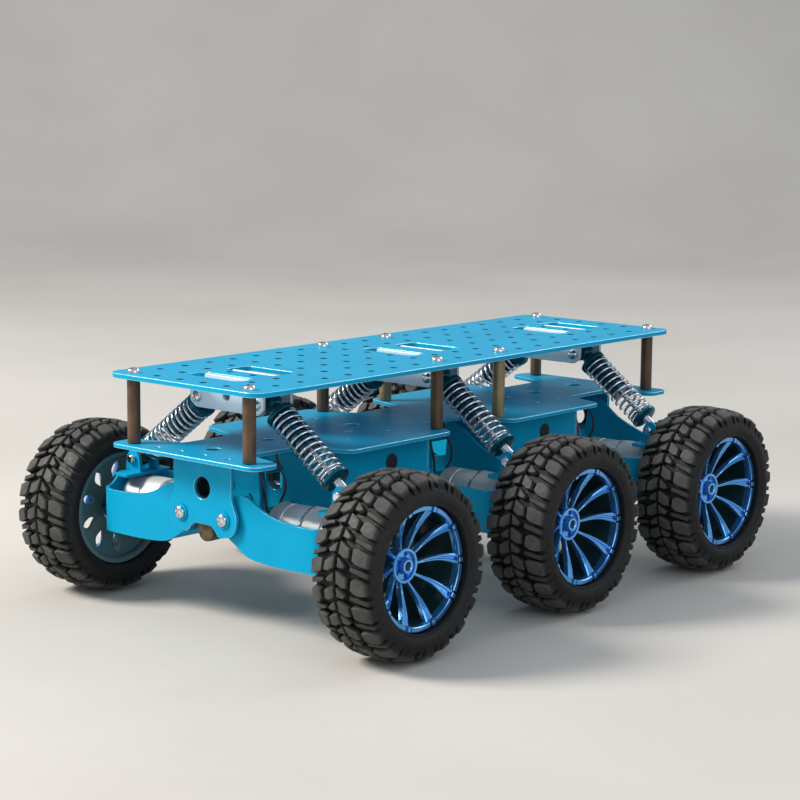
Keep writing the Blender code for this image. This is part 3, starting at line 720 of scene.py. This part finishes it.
FRONT_EDGE = ((95.5, 74.6), (80.0, 73.6), (60.0, 74.8), (46.0, 78.6), (33.0, 85.0), (25.0, 85.0), (19.0, 81.0),
              (12.0, 76.5), (9.5, 73.0))
REAR_EDGE = ((95.5, 77.5), (76.0, 78.2), (64.0, 79.8), (53.0, 83.2), (38.0, 89.5), (28.0, 96.5), (20.5, 101.5),
             (15.5, 101.5), (12.0, 96.0), (10.0, 84.0), (9.5, 73.0))
UNDER_EDGE = ((9.5, 68.0), (11.5, 63.0), (17.0, 59.2), (25.0, 54.5), (34.0, 49.4), (48.0, 47.4), (70.0, 47.0), (95.5, 47.4))
ARM_IN_X, ARM_END_X = 9.5, 95.4


def arm_path():
    """Points on the outside of the bent sheet, as (x, y, outward x, outward y, wall)."""
    inner, corner = ARM_IN_X, ARM_END_X - ARM_BEND
    xs = [inner + (corner - inner) * (k / 34) ** 1.35 for k in range(35)]
    front = [(x, ARM_FRONT_Y, 0, -1, "front") for x in xs]
    bends = []
    for centre_y, start, wall in ((ARM_FRONT_Y + ARM_BEND, -90, "front"), (ARM_REAR_Y - ARM_BEND, 0, "rear")):
        for k in range(1, 8):
            angle = math.radians(start + 90 * k / 8)
            nx, ny = math.cos(angle), math.sin(angle)
            bends.append((corner + ARM_BEND * nx, centre_y + ARM_BEND * ny, nx, ny, wall))
    span = ARM_REAR_Y - ARM_FRONT_Y - 2 * ARM_BEND
    end = [(ARM_END_X, ARM_FRONT_Y + ARM_BEND + span * k / 16, 1, 0, "end") for k in range(17)]
    rear = [(x, ARM_REAR_Y, 0, 1, "rear") for x in reversed(xs)]
    return front + bends[:7] + end + bends[7:] + rear


def arm_sheet():
    """The channel's walls and outer end as one bent strip of sheet."""
    edges = {"front": smooth_line(FRONT_EDGE), "rear": smooth_line(REAR_EDGE)}
    under = smooth_line(UNDER_EDGE)
    sections = []
    for x, y, nx, ny, wall in arm_path():
        if wall == "end":
            rise = max(0.0, 1 - abs(y + 1.0) / 20.0)
            ends = 76.0 + 0.05 * y
            high = ends + (82.1 - ends) * min(1.0, 2.2 * rise) ** 2 * (3 - 2 * min(1.0, 2.2 * rise))
        else:
            high = height_at(edges[wall], x)
        low = height_at(under, x)
        ix, iy = x - ARM_WALL * nx, y - ARM_WALL * ny
        sections.append([(x, y, low), (x, y, high), (ix, iy, high), (ix, iy, low)])
    return lofted(sections)


def arm_shape():
    rod_hole = along_y(turned([(-40, 2.7), (40, 2.7)], 20), PIVOT.x, 0, PIVOT.z)
    shaft_hole = along_x(turned([(-8, 7.0), (8, 7.0)], 28), ARM_END_X, 0, WHEEL.z)
    return cut(arm_sheet(), rod_hole, shaft_hole)


def arm_floor():
    """The floor under the motor, between the two walls."""
    under = [p for p in smooth_line(UNDER_EDGE, 4) if 24.0 < p[0] < 94.0]
    line = [(p[0], p[1] + 0.3) for p in under] + [(p[0], p[1] + ARM_WALL) for p in reversed(under)]
    return upright(extruded(line, ARM_FRONT_Y + ARM_WALL + 0.1, ARM_REAR_Y - ARM_WALL - 0.1))


def arm_shelf():
    """The shelf over the gearbox with the two lugs that carry the shock."""
    shelf = plate([rounded(rectangle(6.6, 18.6, (86.8, -1.0)), 3.0)], 80.2, 82.2, 0.25)
    lug = [(81.2, 82.0), (94.8, 82.0), (93.6, 91.5), (90.6, 96.0), (85.4, 96.0), (82.4, 91.5)]
    outline = rounded(lug, [0.5, 0.5, 4.0, 4.0, 4.0, 4.0])
    lugs = [upright(plate([outline, circle((EYE_LOW.x, EYE_LOW.z), 1.9, 16)], y, y + 2.2, 0.25)) for y in (-8.1, 5.9)]
    return merged(shelf, *lugs)


def gearmotor_shape():
    """Motor and gearbox along X, from the tail cap to the output shaft."""
    tail = [(30.2, 2.0), (30.2, 4.6), (30.8, 5.0), (33.0, 5.0), (33.0, 11.4), (33.8, 13.0), (34.8, MOTOR_R)]
    can = [(44.0, MOTOR_R), (44.2, MOTOR_R - 0.25), (44.8, MOTOR_R - 0.25), (45.0, MOTOR_R), (61.2, MOTOR_R)]
    seam = [(61.4, MOTOR_R - 0.9), (62.4, MOTOR_R - 0.9), (62.6, GEARBOX_R - 0.3), (63.0, GEARBOX_R)]
    box = [(76.6, GEARBOX_R), (76.8, GEARBOX_R - 0.7), (77.7, GEARBOX_R - 0.7), (77.9, GEARBOX_R)]
    end = [(92.2, GEARBOX_R), (93.0, GEARBOX_R - 0.8), (93.0, 3.0)]
    case = along_x(turned(tail + can + seam + box + end, 64), 0, 0, MOTOR_Z)
    shaft = [(92.8, 5.5), (95.0, 5.5), (95.2, 3.0), (110.4, 3.0), (110.9, 2.5)]
    return merged(case, along_x(turned(shaft, 28), 0, 0, WHEEL.z))


def motor_band():
    """The bright band that covers the joint between the motor and its gearbox."""
    profile = [(60.4, MOTOR_R + 0.05), (60.4, GEARBOX_R + 0.1), (61.4, GEARBOX_R + 0.1), (61.4, MOTOR_R + 0.05)]
    return along_x(turned(profile, 64, closed=True), 0, 0, MOTOR_Z)


def motor_lead(y):
    """A lead from the motor's tail up to the deck."""
    line = [(31.5, y, 68.2), (28.8, y, 68.4), (26.8, y * 1.3, 71.0), (26.6, y * 1.9, 76.0), (28.2, y * 2.6, 82.0),
            (27.6, y * 3.0, 89.0), (24.8, y * 2.6, 96.0), (23.4, y * 2.2, 102.0), (23.2, y * 2.0, 106.4)]
    return tube(smooth_line(line, 5), 0.8)


# Wheels

def crown(x):
    """Radius of the top of the tread at a distance x from the tyre's middle."""
    return TYRE_R - 0.0042 * x * x - 0.000008 * x ** 4


def carcass_line():
    half = [(0.0, 50.7), (7.0, 50.4), (13.0, 49.7), (18.0, 48.4), (20.9, 46.4), (22.3, 43.6), (22.4, 41.2),
            (21.6, 39.3), (20.9, 38.4), (21.0, 37.5), (20.2, 36.95)]
    return smooth_line(half, 5)


def carcass():
    line = [(p[0], p[1]) for p in carcass_line()]
    inside = [(19.4, BEAD_R - 0.3), (17.0, BEAD_R + 0.2), (13.0, BEAD_R + 0.3)]
    half = line + inside
    profile = [(-x, r) for x, r in reversed(half)] + half[1:]
    return along_x(turned(profile, 120, closed=True))


def lug(outline, drop, shift, side):
    """One tread block: outline in (along, across) points, raised from the carcass to the crown."""
    line = [p for p in carcass_line() if p[1] > 44.0]
    middle = sum((Vector(p) for p in outline), Vector((0, 0))) / len(outline)
    rings = []
    for inset, sink in ((0.0, None), (0.4, 0.55), (0.85, 0.0), (2.2, -0.12)):
        ring = []
        for point in outline:
            inward = middle - Vector(point)
            u, x = Vector(point) + inward * min(inset / inward.length, 0.5)
            if sink is None:
                r = height_at(line, min(x, 21.8)) - 0.8
            else:
                x -= 1.3 * max(0.0, x - 19.0) / 3.0
                r = min(crown(x) - drop - sink, TYRE_R - 0.02)
            angle = (u + shift) / TYRE_R
            ring.append((side * x, r * math.cos(angle), r * math.sin(angle)))
        rings.append(ring)
    return lofted(rings)


CENTRE_BLOCK = ((-4.4, 0.7), (-4.0, 4.0), (-2.6, 8.4), (3.2, 8.8), (4.6, 5.4), (3.2, 0.7))
WEDGE_BLOCK = ((5.0, 0.7), (6.6, 5.0), (8.6, 7.2), (10.9, 5.6), (11.2, 0.7))
LONG_BLOCK = ((-3.4, 10.0), (-5.0, 13.5), (-5.0, 18.0), (-4.4, 22.0), (4.4, 22.0), (5.2, 18.0), (5.0, 13.0), (3.6, 10.4))
SHORT_BLOCK = ((-2.8, 11.2), (-4.9, 14.0), (-4.9, 18.0), (-3.4, 21.4), (3.6, 21.4), (5.1, 18.0), (5.2, 13.6), (3.0, 10.6))
STEP_BLOCK = ((7.6, 9.2), (6.9, 14.0), (6.9, 18.0), (7.1, 21.9), (10.5, 21.9), (10.7, 18.0), (10.6, 13.0), (9.9, 9.0))


def tread():
    """All tread blocks: in each pitch of each half a centre block, a wedge, a side block and a step."""
    pitch = 2 * math.pi * TYRE_R / TREAD_PITCHES
    blocks = []
    for side in (-1, 1):
        for k in range(TREAD_PITCHES):
            start = pitch * (k + (0.5 if side < 0 else 0.0))
            main = LONG_BLOCK if k % 2 else SHORT_BLOCK
            for outline, drop in ((CENTRE_BLOCK, 0.0), (WEDGE_BLOCK, 0.3), (main, 0.1), (STEP_BLOCK, 1.3)):
                worn = [(u + DRAW.uniform(-0.25, 0.25), x + DRAW.uniform(-0.2, 0.2)) for u, x in outline]
                slanted = [(u + 0.25 * (x - 8), max(x, 0.6)) for u, x in worn]
                blocks.append(lug(slanted, drop + DRAW.uniform(0.0, 0.25), start, side))
    return merged(*blocks)


def spoke_front(r):
    """Height of the spokes' crest at radius r: the face is dished towards the hub."""
    t = (r - 8.5) / 24.8
    return 4.0 + 11.6 * t ** 1.2


def spoke(angle):
    """One spoke: a bar with a groove that widens from the hub to the ring."""
    sections = []
    steps = 12
    for k in range(steps + 1):
        t = k / steps
        r = 9.4 + 22.6 * t
        width = 1.6 + 4.4 * t ** 1.7
        crest = spoke_front(r)
        dip = 1.0 * min(1.0, 1.6 * t)
        turn = math.radians(angle + 5.0 * math.sin(math.pi * t) * (1 - 0.4 * t))
        outline = [(-0.5, -3.4), (-0.5, -0.5), (-0.38, 0.0), (-0.2, 0.0), (-0.06, -dip), (0.06, -dip)]
        outline += [(0.2, 0.0), (0.38, 0.0), (0.5, -0.5), (0.5, -3.4)]
        radial = Vector((0, math.cos(turn), math.sin(turn)))
        across = Vector((0, -math.sin(turn), math.cos(turn)))
        sections.append([radial * r + across * (a * width) + Vector((crest + h, 0, 0)) for a, h in outline])
    return lofted(sections)


def arc_pad(start, end, r_low, r_high, x_low, x_high, steps=8):
    """A raised pad on the rim's ring, between two angles in degrees."""
    sections = []
    edge = 0.35
    outline = [(r_low, x_low), (r_high, x_low), (r_high, x_high - edge), (r_high - edge, x_high)]
    outline += [(r_low + edge, x_high), (r_low, x_high - edge)]
    for k in range(steps + 1):
        angle = math.radians(start + (end - start) * k / steps)
        sections.append([(x, r * math.cos(angle), r * math.sin(angle)) for r, x in outline])
    return lofted(sections)


def rim_face():
    """The plated part of the rim: hub ring, spokes, base ring and ten raised pads."""
    step = 360.0 / SPOKES
    spokes = [spoke(step * k) for k in range(SPOKES)]
    pads = [arc_pad(step * k + 4.6, step * (k + 1) - 4.6, 30.9, 33.7, 14.4, 17.0) for k in range(SPOKES)]
    ends = [arc_pad(step * k - 2.2, step * k + 2.2, 30.6, 33.9, 14.4, 17.5, 4) for k in range(SPOKES)]
    base = [(10.5, 31.6), (14.9, 31.2), (15.3, 31.5), (15.3, 33.7), (14.9, 34.0), (10.5, 34.0)]
    hub = [(-8.4, 3.3), (-8.4, 8.2), (-3.0, 8.6), (1.0, 9.8), (4.4, 10.4), (5.0, 10.0), (5.0, 8.6), (4.4, 8.2)]
    hub += [(3.0, 8.1), (3.0, 5.2), (4.2, 5.0), (4.2, 3.3)]
    boss = along_x(turned(hub, 60, closed=True))
    pits = []
    for k in range(5):
        oval = [(x * 1.25, y * 1.0) for x, y in circle((0, 0), 1.45, 16)]
        pit = along_x(extruded([(x, y + 6.7) for x, y in oval], 0.4, 6.0))
        pits.append(changed(pit, Matrix.Rotation(2 * math.pi * k / 5, 4, "X")))
    ring = merged(along_x(turned(base, 120, closed=True)), *spokes, *pads, *ends)
    return merged(cut(boss, *pits), changed(ring, Matrix.Diagonal((1.0, RING_SPREAD, RING_SPREAD, 1.0))))


def rim_dish():
    """The dish at the back of the rim, as a sheet with ten teardrop windows; its front side, seen through the spokes,
    gets painted shade in build_wheel.
    """
    step = 2 * math.pi / SPOKES
    radii = [8.8 + 24.4 * k / 24 for k in range(25)]
    wide, first, last = math.radians(7.6), 15.0, 29.5
    points, faces = [], []
    across = 6
    for k in range(SPOKES):
        left, right = step * (k - 0.5), step * (k + 0.5)
        base = len(points)
        for r in radii:
            t = (r - first) / (last - first)
            half = wide * math.sin(math.pi * t ** 1.5) if 0 < t < 1 else 0.0
            for j in range(across + 1):
                angle = left + half + (right - left - 2 * half) * j / across
                points.append((-9.2 - 0.26 * (r - radii[0]), r * math.cos(angle), r * math.sin(angle)))
        for i in range(len(radii) - 1):
            for j in range(across):
                a = base + i * (across + 1) + j
                faces.append((a, a + 1, a + across + 2, a + across + 1))
    return points, faces


def rim_barrel():
    """The barrel that carries the tyre; its front end is inside the plated ring."""
    outside = [(14.0, 35.2), (13.6, 36.0), (12.8, 36.3), (-18.4, 36.3), (-19.2, 35.9), (-19.5, 35.2)]
    inside = [(-19.4, 33.4), (-18.4, 32.6), (-16.0, 32.4), (-2.0, 33.3), (9.0, 33.5), (13.0, 34.1), (13.8, 34.6)]
    return along_x(turned(outside + inside, 120, closed=True))


def coupling():
    """The coupling on the output shaft: a clamping disc with six screws, and a hexagon."""
    disc = [(-29.0, 3.4), (-29.0, 9.9), (-28.4, 10.5), (-24.0, 10.5), (-23.6, 9.6), (-22.8, 9.6), (-22.4, 10.5)]
    disc += [(-21.6, 10.5), (-21.0, 9.9), (-21.0, 7.0), (-20.6, 6.6), (-20.6, 3.4)]
    hexagon = along_x(turned([(-20.8, 6.6), (-20.4, 7.0), (-9.4, 7.0), (-9.0, 6.6)], 6))
    parts = [along_x(turned(disc, 48, closed=True)), hexagon]
    for k in range(6):
        head = along_x(shifted(turned([(-30.0, 1.3), (-29.8, 1.6), (-28.6, 1.6)], 14), y=7.4))
        parts.append(changed(head, Matrix.Rotation(math.pi * k / 3, 4, "X")))
    return merged(*parts)


def hub_nut():
    """The flanged nut in the middle of the rim, with a dark bore."""
    return along_x(turned([(4.5, 2.5), (4.5, 4.9), (5.2, 4.9), (6.8, 4.4), (7.2, 4.0), (7.2, 2.9), (6.8, 2.5)], 36, closed=True))


# Shocks, drawn hanging down -Z from the upper eye

def shock_body():
    """The cylinder with fine rings at its lower end."""
    r = CYLINDER_R
    rings = [(-12.2, r - 0.2), (-13.0, r), (-36.0, r), (-36.4, r - 0.4), (-37.2, r - 0.4), (-37.6, r)]
    return turned(rings + [(-41.4, r), (-42.0, r - 0.5)], 40)


def shock_cap():
    """Eye, neck and collar at the top of the shock."""
    r = SEAT_R
    neck = [(-3.8, 3.6), (-5.0, 4.2), (-8.4, 5.2), (-9.0, r - 0.5), (-9.4, r), (-10.4, r), (-10.7, r - 0.5)]
    neck += [(-11.1, r), (-11.7, r), (-12.1, r - 0.5)]
    eye = along_y(turned([(-4.5, 5.0), (-4.1, 5.4), (4.1, 5.4), (4.5, 5.0)], 32))
    hole = along_y(turned([(-9, 2.4), (9, 2.4)], 20))
    return cut(merged(eye), hole), turned(neck, 40)


def shock_shaft():
    low = -SHOCK_LENGTH
    return turned([(-34.0, 1.5), (-34.2, 1.7), (-64.2, 1.7)], 24), turned([(-66.8, 3.4), (-68.4, 2.8), (low + 4.2, 2.8)], 28)


def shock_seat():
    r = SEAT_R
    profile = [(-62.6, 3.4), (-63.6, 5.6), (-64.0, r - 0.7), (-64.4, r), (-66.2, r), (-67.0, r - 0.9), (-67.6, 4.0)]
    return turned(profile, 40)


def shock_ball():
    """The black ball joint at the lower eye."""
    ball = [(5.0 * math.sin(math.radians(a)), 5.0 * math.cos(math.radians(a))) for a in range(-64, 65, 8)]
    eye = cut(along_y(turned(ball, 32)), along_y(turned([(-9, 2.4), (9, 2.4)], 20)))
    return shifted(eye, z=-SHOCK_LENGTH)


def coil():
    """The spring's wire, with one closed turn at each end."""
    start, end = -COLLAR_END - WIRE_R - 0.35, -SEAT_AT + WIRE_R + 0.45
    closed = 2.0 * WIRE_R * 1.08
    middle = COIL_TURNS - 2
    pitch = (start - end - 2 * closed) / middle
    line = []
    steps = 28
    for k in range(COIL_TURNS * steps + 1):
        turn = k / steps
        drop = closed * min(turn, 1.0) + pitch * min(max(turn - 1.0, 0.0), middle)
        drop += closed * max(turn - 1.0 - middle, 0.0)
        angle = 2 * math.pi * turn
        line.append((COIL_R * math.cos(angle), COIL_R * math.sin(angle), start - drop))
    return tube(line, WIRE_R, 10)


def solidified(item, thick, behind):
    """Gives a sheet its thickness, with another finish on its back."""
    if len(item.data.materials) == 1:
        item.data.materials.append(FINISH[behind])
    step = item.modifiers.new("thickness", "SOLIDIFY")
    step.material_offset = 1
    step.thickness = thick * MM
    step.offset = -1
    item.modifiers.move(len(item.modifiers) - 1, 0)


def corner_meshes():
    """Every mesh of a corner, for the right and for the left side."""
    cap_eye, cap_neck = shock_cap()
    shaft, neck = shock_shaft()
    nut_hex, nut_ring = hex_nut(3.4, 2.2)
    shapes = {
        "arm": arm_shape(), "floor": arm_floor(), "shelf": arm_shelf(), "motor": gearmotor_shape(),
        "band": motor_band(), "carcass": carcass(), "tread": tread(), "rim_face": rim_face(),
        "rim_dish": rim_dish(), "rim_barrel": rim_barrel(), "coupling": coupling(), "hub_nut": hub_nut(),
        "body": shock_body(), "cap": merged(cap_eye, cap_neck), "shaft": merged(shaft, neck), "seat": shock_seat(),
        "ball": shock_ball(), "eye_nut": merged(nut_hex, nut_ring), "eye_screw": pan_head(3.4, 2.2),
        "axle": along_x(turned([(-8.9, 3.0), (4.2, 3.0), (4.9, 2.45)], 24)),
        "lead_plus": motor_lead(-3.2), "lead_minus": motor_lead(3.2),
    }
    right = {name: mesh_from(name, shape) for name, shape in shapes.items()}
    weld = bmesh.new()
    weld.from_mesh(right["rim_dish"])
    bmesh.ops.remove_doubles(weld, verts=weld.verts, dist=0.02 * MM)
    bmesh.ops.recalc_face_normals(weld, faces=weld.faces)
    weld.to_mesh(right["rim_dish"])
    weld.free()
    # The barrel: painted shade (slot 0) outward of BAND_X, the dish's own grey-teal (slot 1) inward of it.
    for kind in ("rim_painted_shade", "rim_haze"):
        right["rim_barrel"].materials.append(FINISH[kind])
    for face in right["rim_barrel"].polygons:
        face.material_index = int(face.center.x / MM < BAND_X)
    return {"right": right, "left": {name: mirrored(mesh) for name, mesh in right.items()}}


def build_arm(tag, side, sign, axle, mesh):
    body, at = f"arm_{tag}", (0, axle, 0)
    piece(f"arm_sheet_{tag}", mesh["arm"], "anodised_blue", body, at, bevel=0.3, stands_for=[f"swing_arm_{tag}"])
    piece(f"arm_floor_{tag}", mesh["floor"], "anodised_blue", body, at, bevel=0.2)
    piece(f"arm_shelf_{tag}", mesh["shelf"], "anodised_blue", body, at)
    piece(f"motor_{tag}", mesh["motor"], "motor_silver", body, at, stands_for=[f"gearmotor_{tag}"])
    piece(f"motor_band_{tag}", mesh["band"], "bright_steel", body, at)
    eye = Vector((sign * EYE_LOW.x, axle, EYE_LOW.z))
    for what, key, way in (("nut", "eye_nut", -1), ("screw", "eye_screw", 1)):
        facing(piece(f"eye_{what}_{tag}", mesh[key], "bright_steel", body), eye + Vector((0, way * 8.15, 0)), way)
    bolt = mesh_from(f"eye_bolt_{tag}", along_y(turned([(-8.2, 1.8), (8.2, 1.8)], 18)))
    piece(f"eye_bolt_{tag}", bolt, "bright_steel", body, tuple(eye))
    pole = "red_lead" if tag.startswith("rear") else "black_plastic"
    for name, kind in (("lead_plus", pole), ("lead_minus", "black_plastic")):
        lead = bpy.data.objects.new(f"{name}_{tag}", mesh[name].copy())
        bpy.context.scene.collection.objects.link(lead)
        lead.location = Vector(at) * MM
        dress(lead, kind)
        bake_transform(lead)


def build_wheel(tag, sign, axle, mesh):
    body, at = f"wheel_{tag}", (sign * WHEEL.x, axle, WHEEL.z)
    piece(f"tyre_carcass_{tag}", mesh["carcass"], "tyre_rubber", body, at, stands_for=[f"tyre_{tag}"])
    piece(f"tyre_tread_{tag}", mesh["tread"], "tyre_rubber", body, at)
    piece(f"rim_face_{tag}", mesh["rim_face"], "rim_blue", body, at, stands_for=[f"rim_{tag}"])
    # The dish's front side gets painted shade through solidified(), its back keeps its own grey-teal; the barrel gets
    # painted shade too.
    solidified(piece(f"rim_dish_{tag}", mesh["rim_dish"], "rim_haze", body, at), 1.4, "rim_painted_shade")
    piece(f"rim_barrel_{tag}", mesh["rim_barrel"], "rim_painted_shade", body, at)
    piece(f"coupling_{tag}", mesh["coupling"], "coupling_brass", body, at, stands_for=[f"wheel_hub_{tag}"])
    piece(f"axle_{tag}", mesh["axle"], "black_plastic", body, at)
    piece(f"hub_nut_{tag}", mesh["hub_nut"], "rim_blue", body, at)


def build_shock(tag, sign, axle, mesh):
    upper, lower = f"shock_upper_{tag}", f"shock_lower_{tag}"
    at, lean = (sign * EYE.x, axle, EYE.z), -sign * SHOCK_ANGLE
    piece(f"shock_body_{tag}", mesh["body"], "shock_blue", upper, at, lean, stands_for=[f"shock_cylinder_{tag}"])
    piece(f"shock_cap_{tag}", mesh["cap"], "shock_cap", upper, at, lean)
    piece(f"shock_shaft_{tag}", mesh["shaft"], "bright_steel", lower, at, lean, stands_for=[f"shock_rod_{tag}"])
    piece(f"shock_seat_{tag}", mesh["seat"], "shock_cap", lower, at, lean)
    piece(f"shock_ball_{tag}", mesh["ball"], "black_plastic", lower, at, lean)
    wire = bpy.data.objects.new(f"spring_coil_{tag}", mesh_from(f"coil_{tag}", coil()))
    bpy.context.scene.collection.objects.link(wire)
    turn = Matrix.Rotation(lean, 4, "Y")
    wire.matrix_world = Matrix.Translation(Vector(at) * MM) @ turn
    dress(wire, "spring_steel")
    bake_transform(wire)
    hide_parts(f"spring_{tag}")


def build_corners():
    meshes = corner_meshes()
    for place, axle in AXLES.items():
        for side, sign in SIDES.items():
            tag = f"{place}_{side}"
            build_arm(tag, side, sign, axle, meshes[side])
            build_wheel(tag, sign, axle, meshes[side])
            build_shock(tag, sign, axle, meshes[side])


# Stage, light and camera

CAMERA_AT, CAMERA_TO = Vector((0.947, -1.0935, 0.3467)), Vector((-0.1298, 0.1385, 0.0883))
CAMERA_LENS, CAMERA_ROLL = 100.9, math.radians(0.44)


def look_from(place, target, roll=0.0):
    ahead = (target - place).normalized()
    right = ahead.cross(Vector((0, 0, 1))).normalized()
    up = right.cross(ahead)
    right, up = right * math.cos(roll) + up * math.sin(roll), up * math.cos(roll) - right * math.sin(roll)
    axes = Matrix((right, up, -ahead)).transposed().to_4x4()
    return Matrix.Translation(place) @ axes


def build_camera():
    data = bpy.data.cameras.new("camera")
    data.lens = CAMERA_LENS
    data.sensor_width = 36.0
    item = bpy.data.objects.new("camera", data)
    item.matrix_world = look_from(CAMERA_AT, CAMERA_TO, CAMERA_ROLL)
    bpy.context.scene.collection.objects.link(item)
    bpy.context.scene.camera = item


def area_light(name, place, size, watts, colour=(1, 1, 1)):
    data = bpy.data.lights.new(name, "AREA")
    data.shape = "RECTANGLE"
    data.size, data.size_y = size
    data.energy = watts
    data.color = colour
    item = bpy.data.objects.new(name, data)
    item.matrix_world = look_from(Vector(place), Vector((0, 0, 0.08)))
    bpy.context.scene.collection.objects.link(item)


def build_stage():
    """A pale floor that curves up into a pale backdrop, seen from the camera's side."""
    profile = [(-3.0, 0.0), (2.2, 0.0)]
    profile += [(2.2 + 1.2 * math.sin(a), 1.2 - 1.2 * math.cos(a)) for a in (math.pi / 2 * k / 12 for k in range(1, 13))]
    profile.append((3.4, 4.0))
    sections = [[(side * 4.0, y, z) for y, z in profile] for side in (-1, 1)]
    points = [p for section in sections for p in section]
    count = len(profile)
    faces = [(k, k + 1, count + k + 1, count + k) for k in range(count - 1)]
    mesh = bpy.data.meshes.new("floor")
    mesh.from_pydata(points, [], faces)
    mesh.shade_smooth()
    floor = bpy.data.objects.new("floor", mesh)
    azimuth = math.atan2(CAMERA_AT.x - CAMERA_TO.x, CAMERA_TO.y - CAMERA_AT.y)
    floor.matrix_world = Matrix.Rotation(azimuth, 4, "Z")
    mesh.materials.append(finish("floor", (0.50, 0.465, 0.42), (0.54, 0.505, 0.46), 0.0, (0.7, 0.9), broad=3.0, fine=60.0))
    bpy.context.scene.collection.objects.link(floor)


def build_light():
    area_light("key", (-1.3, -1.5, 1.7), (0.8, 0.8), 88.0, (1.0, 0.97, 0.92))
    area_light("fill", (1.8, -0.6, 0.9), (1.6, 1.2), 9.0, (0.86, 0.93, 1.0))
    area_light("back", (0.3, 1.9, 1.6), (2.0, 0.8), 14.0, (0.93, 0.96, 1.0))
    world = bpy.context.scene.world or bpy.data.worlds.new("world")
    bpy.context.scene.world = world
    world.use_nodes = True
    background = world.node_tree.nodes["Background"]
    background.inputs["Color"].default_value = (0.78, 0.88, 1.0, 1.0)
    background.inputs["Strength"].default_value = 0.62
    bpy.context.scene.view_settings.view_transform = "Standard"


build_camera()
build_stage()
build_light()
build_plates()
build_brackets()
build_posts()
build_rods()
build_end_fittings()
build_corners()
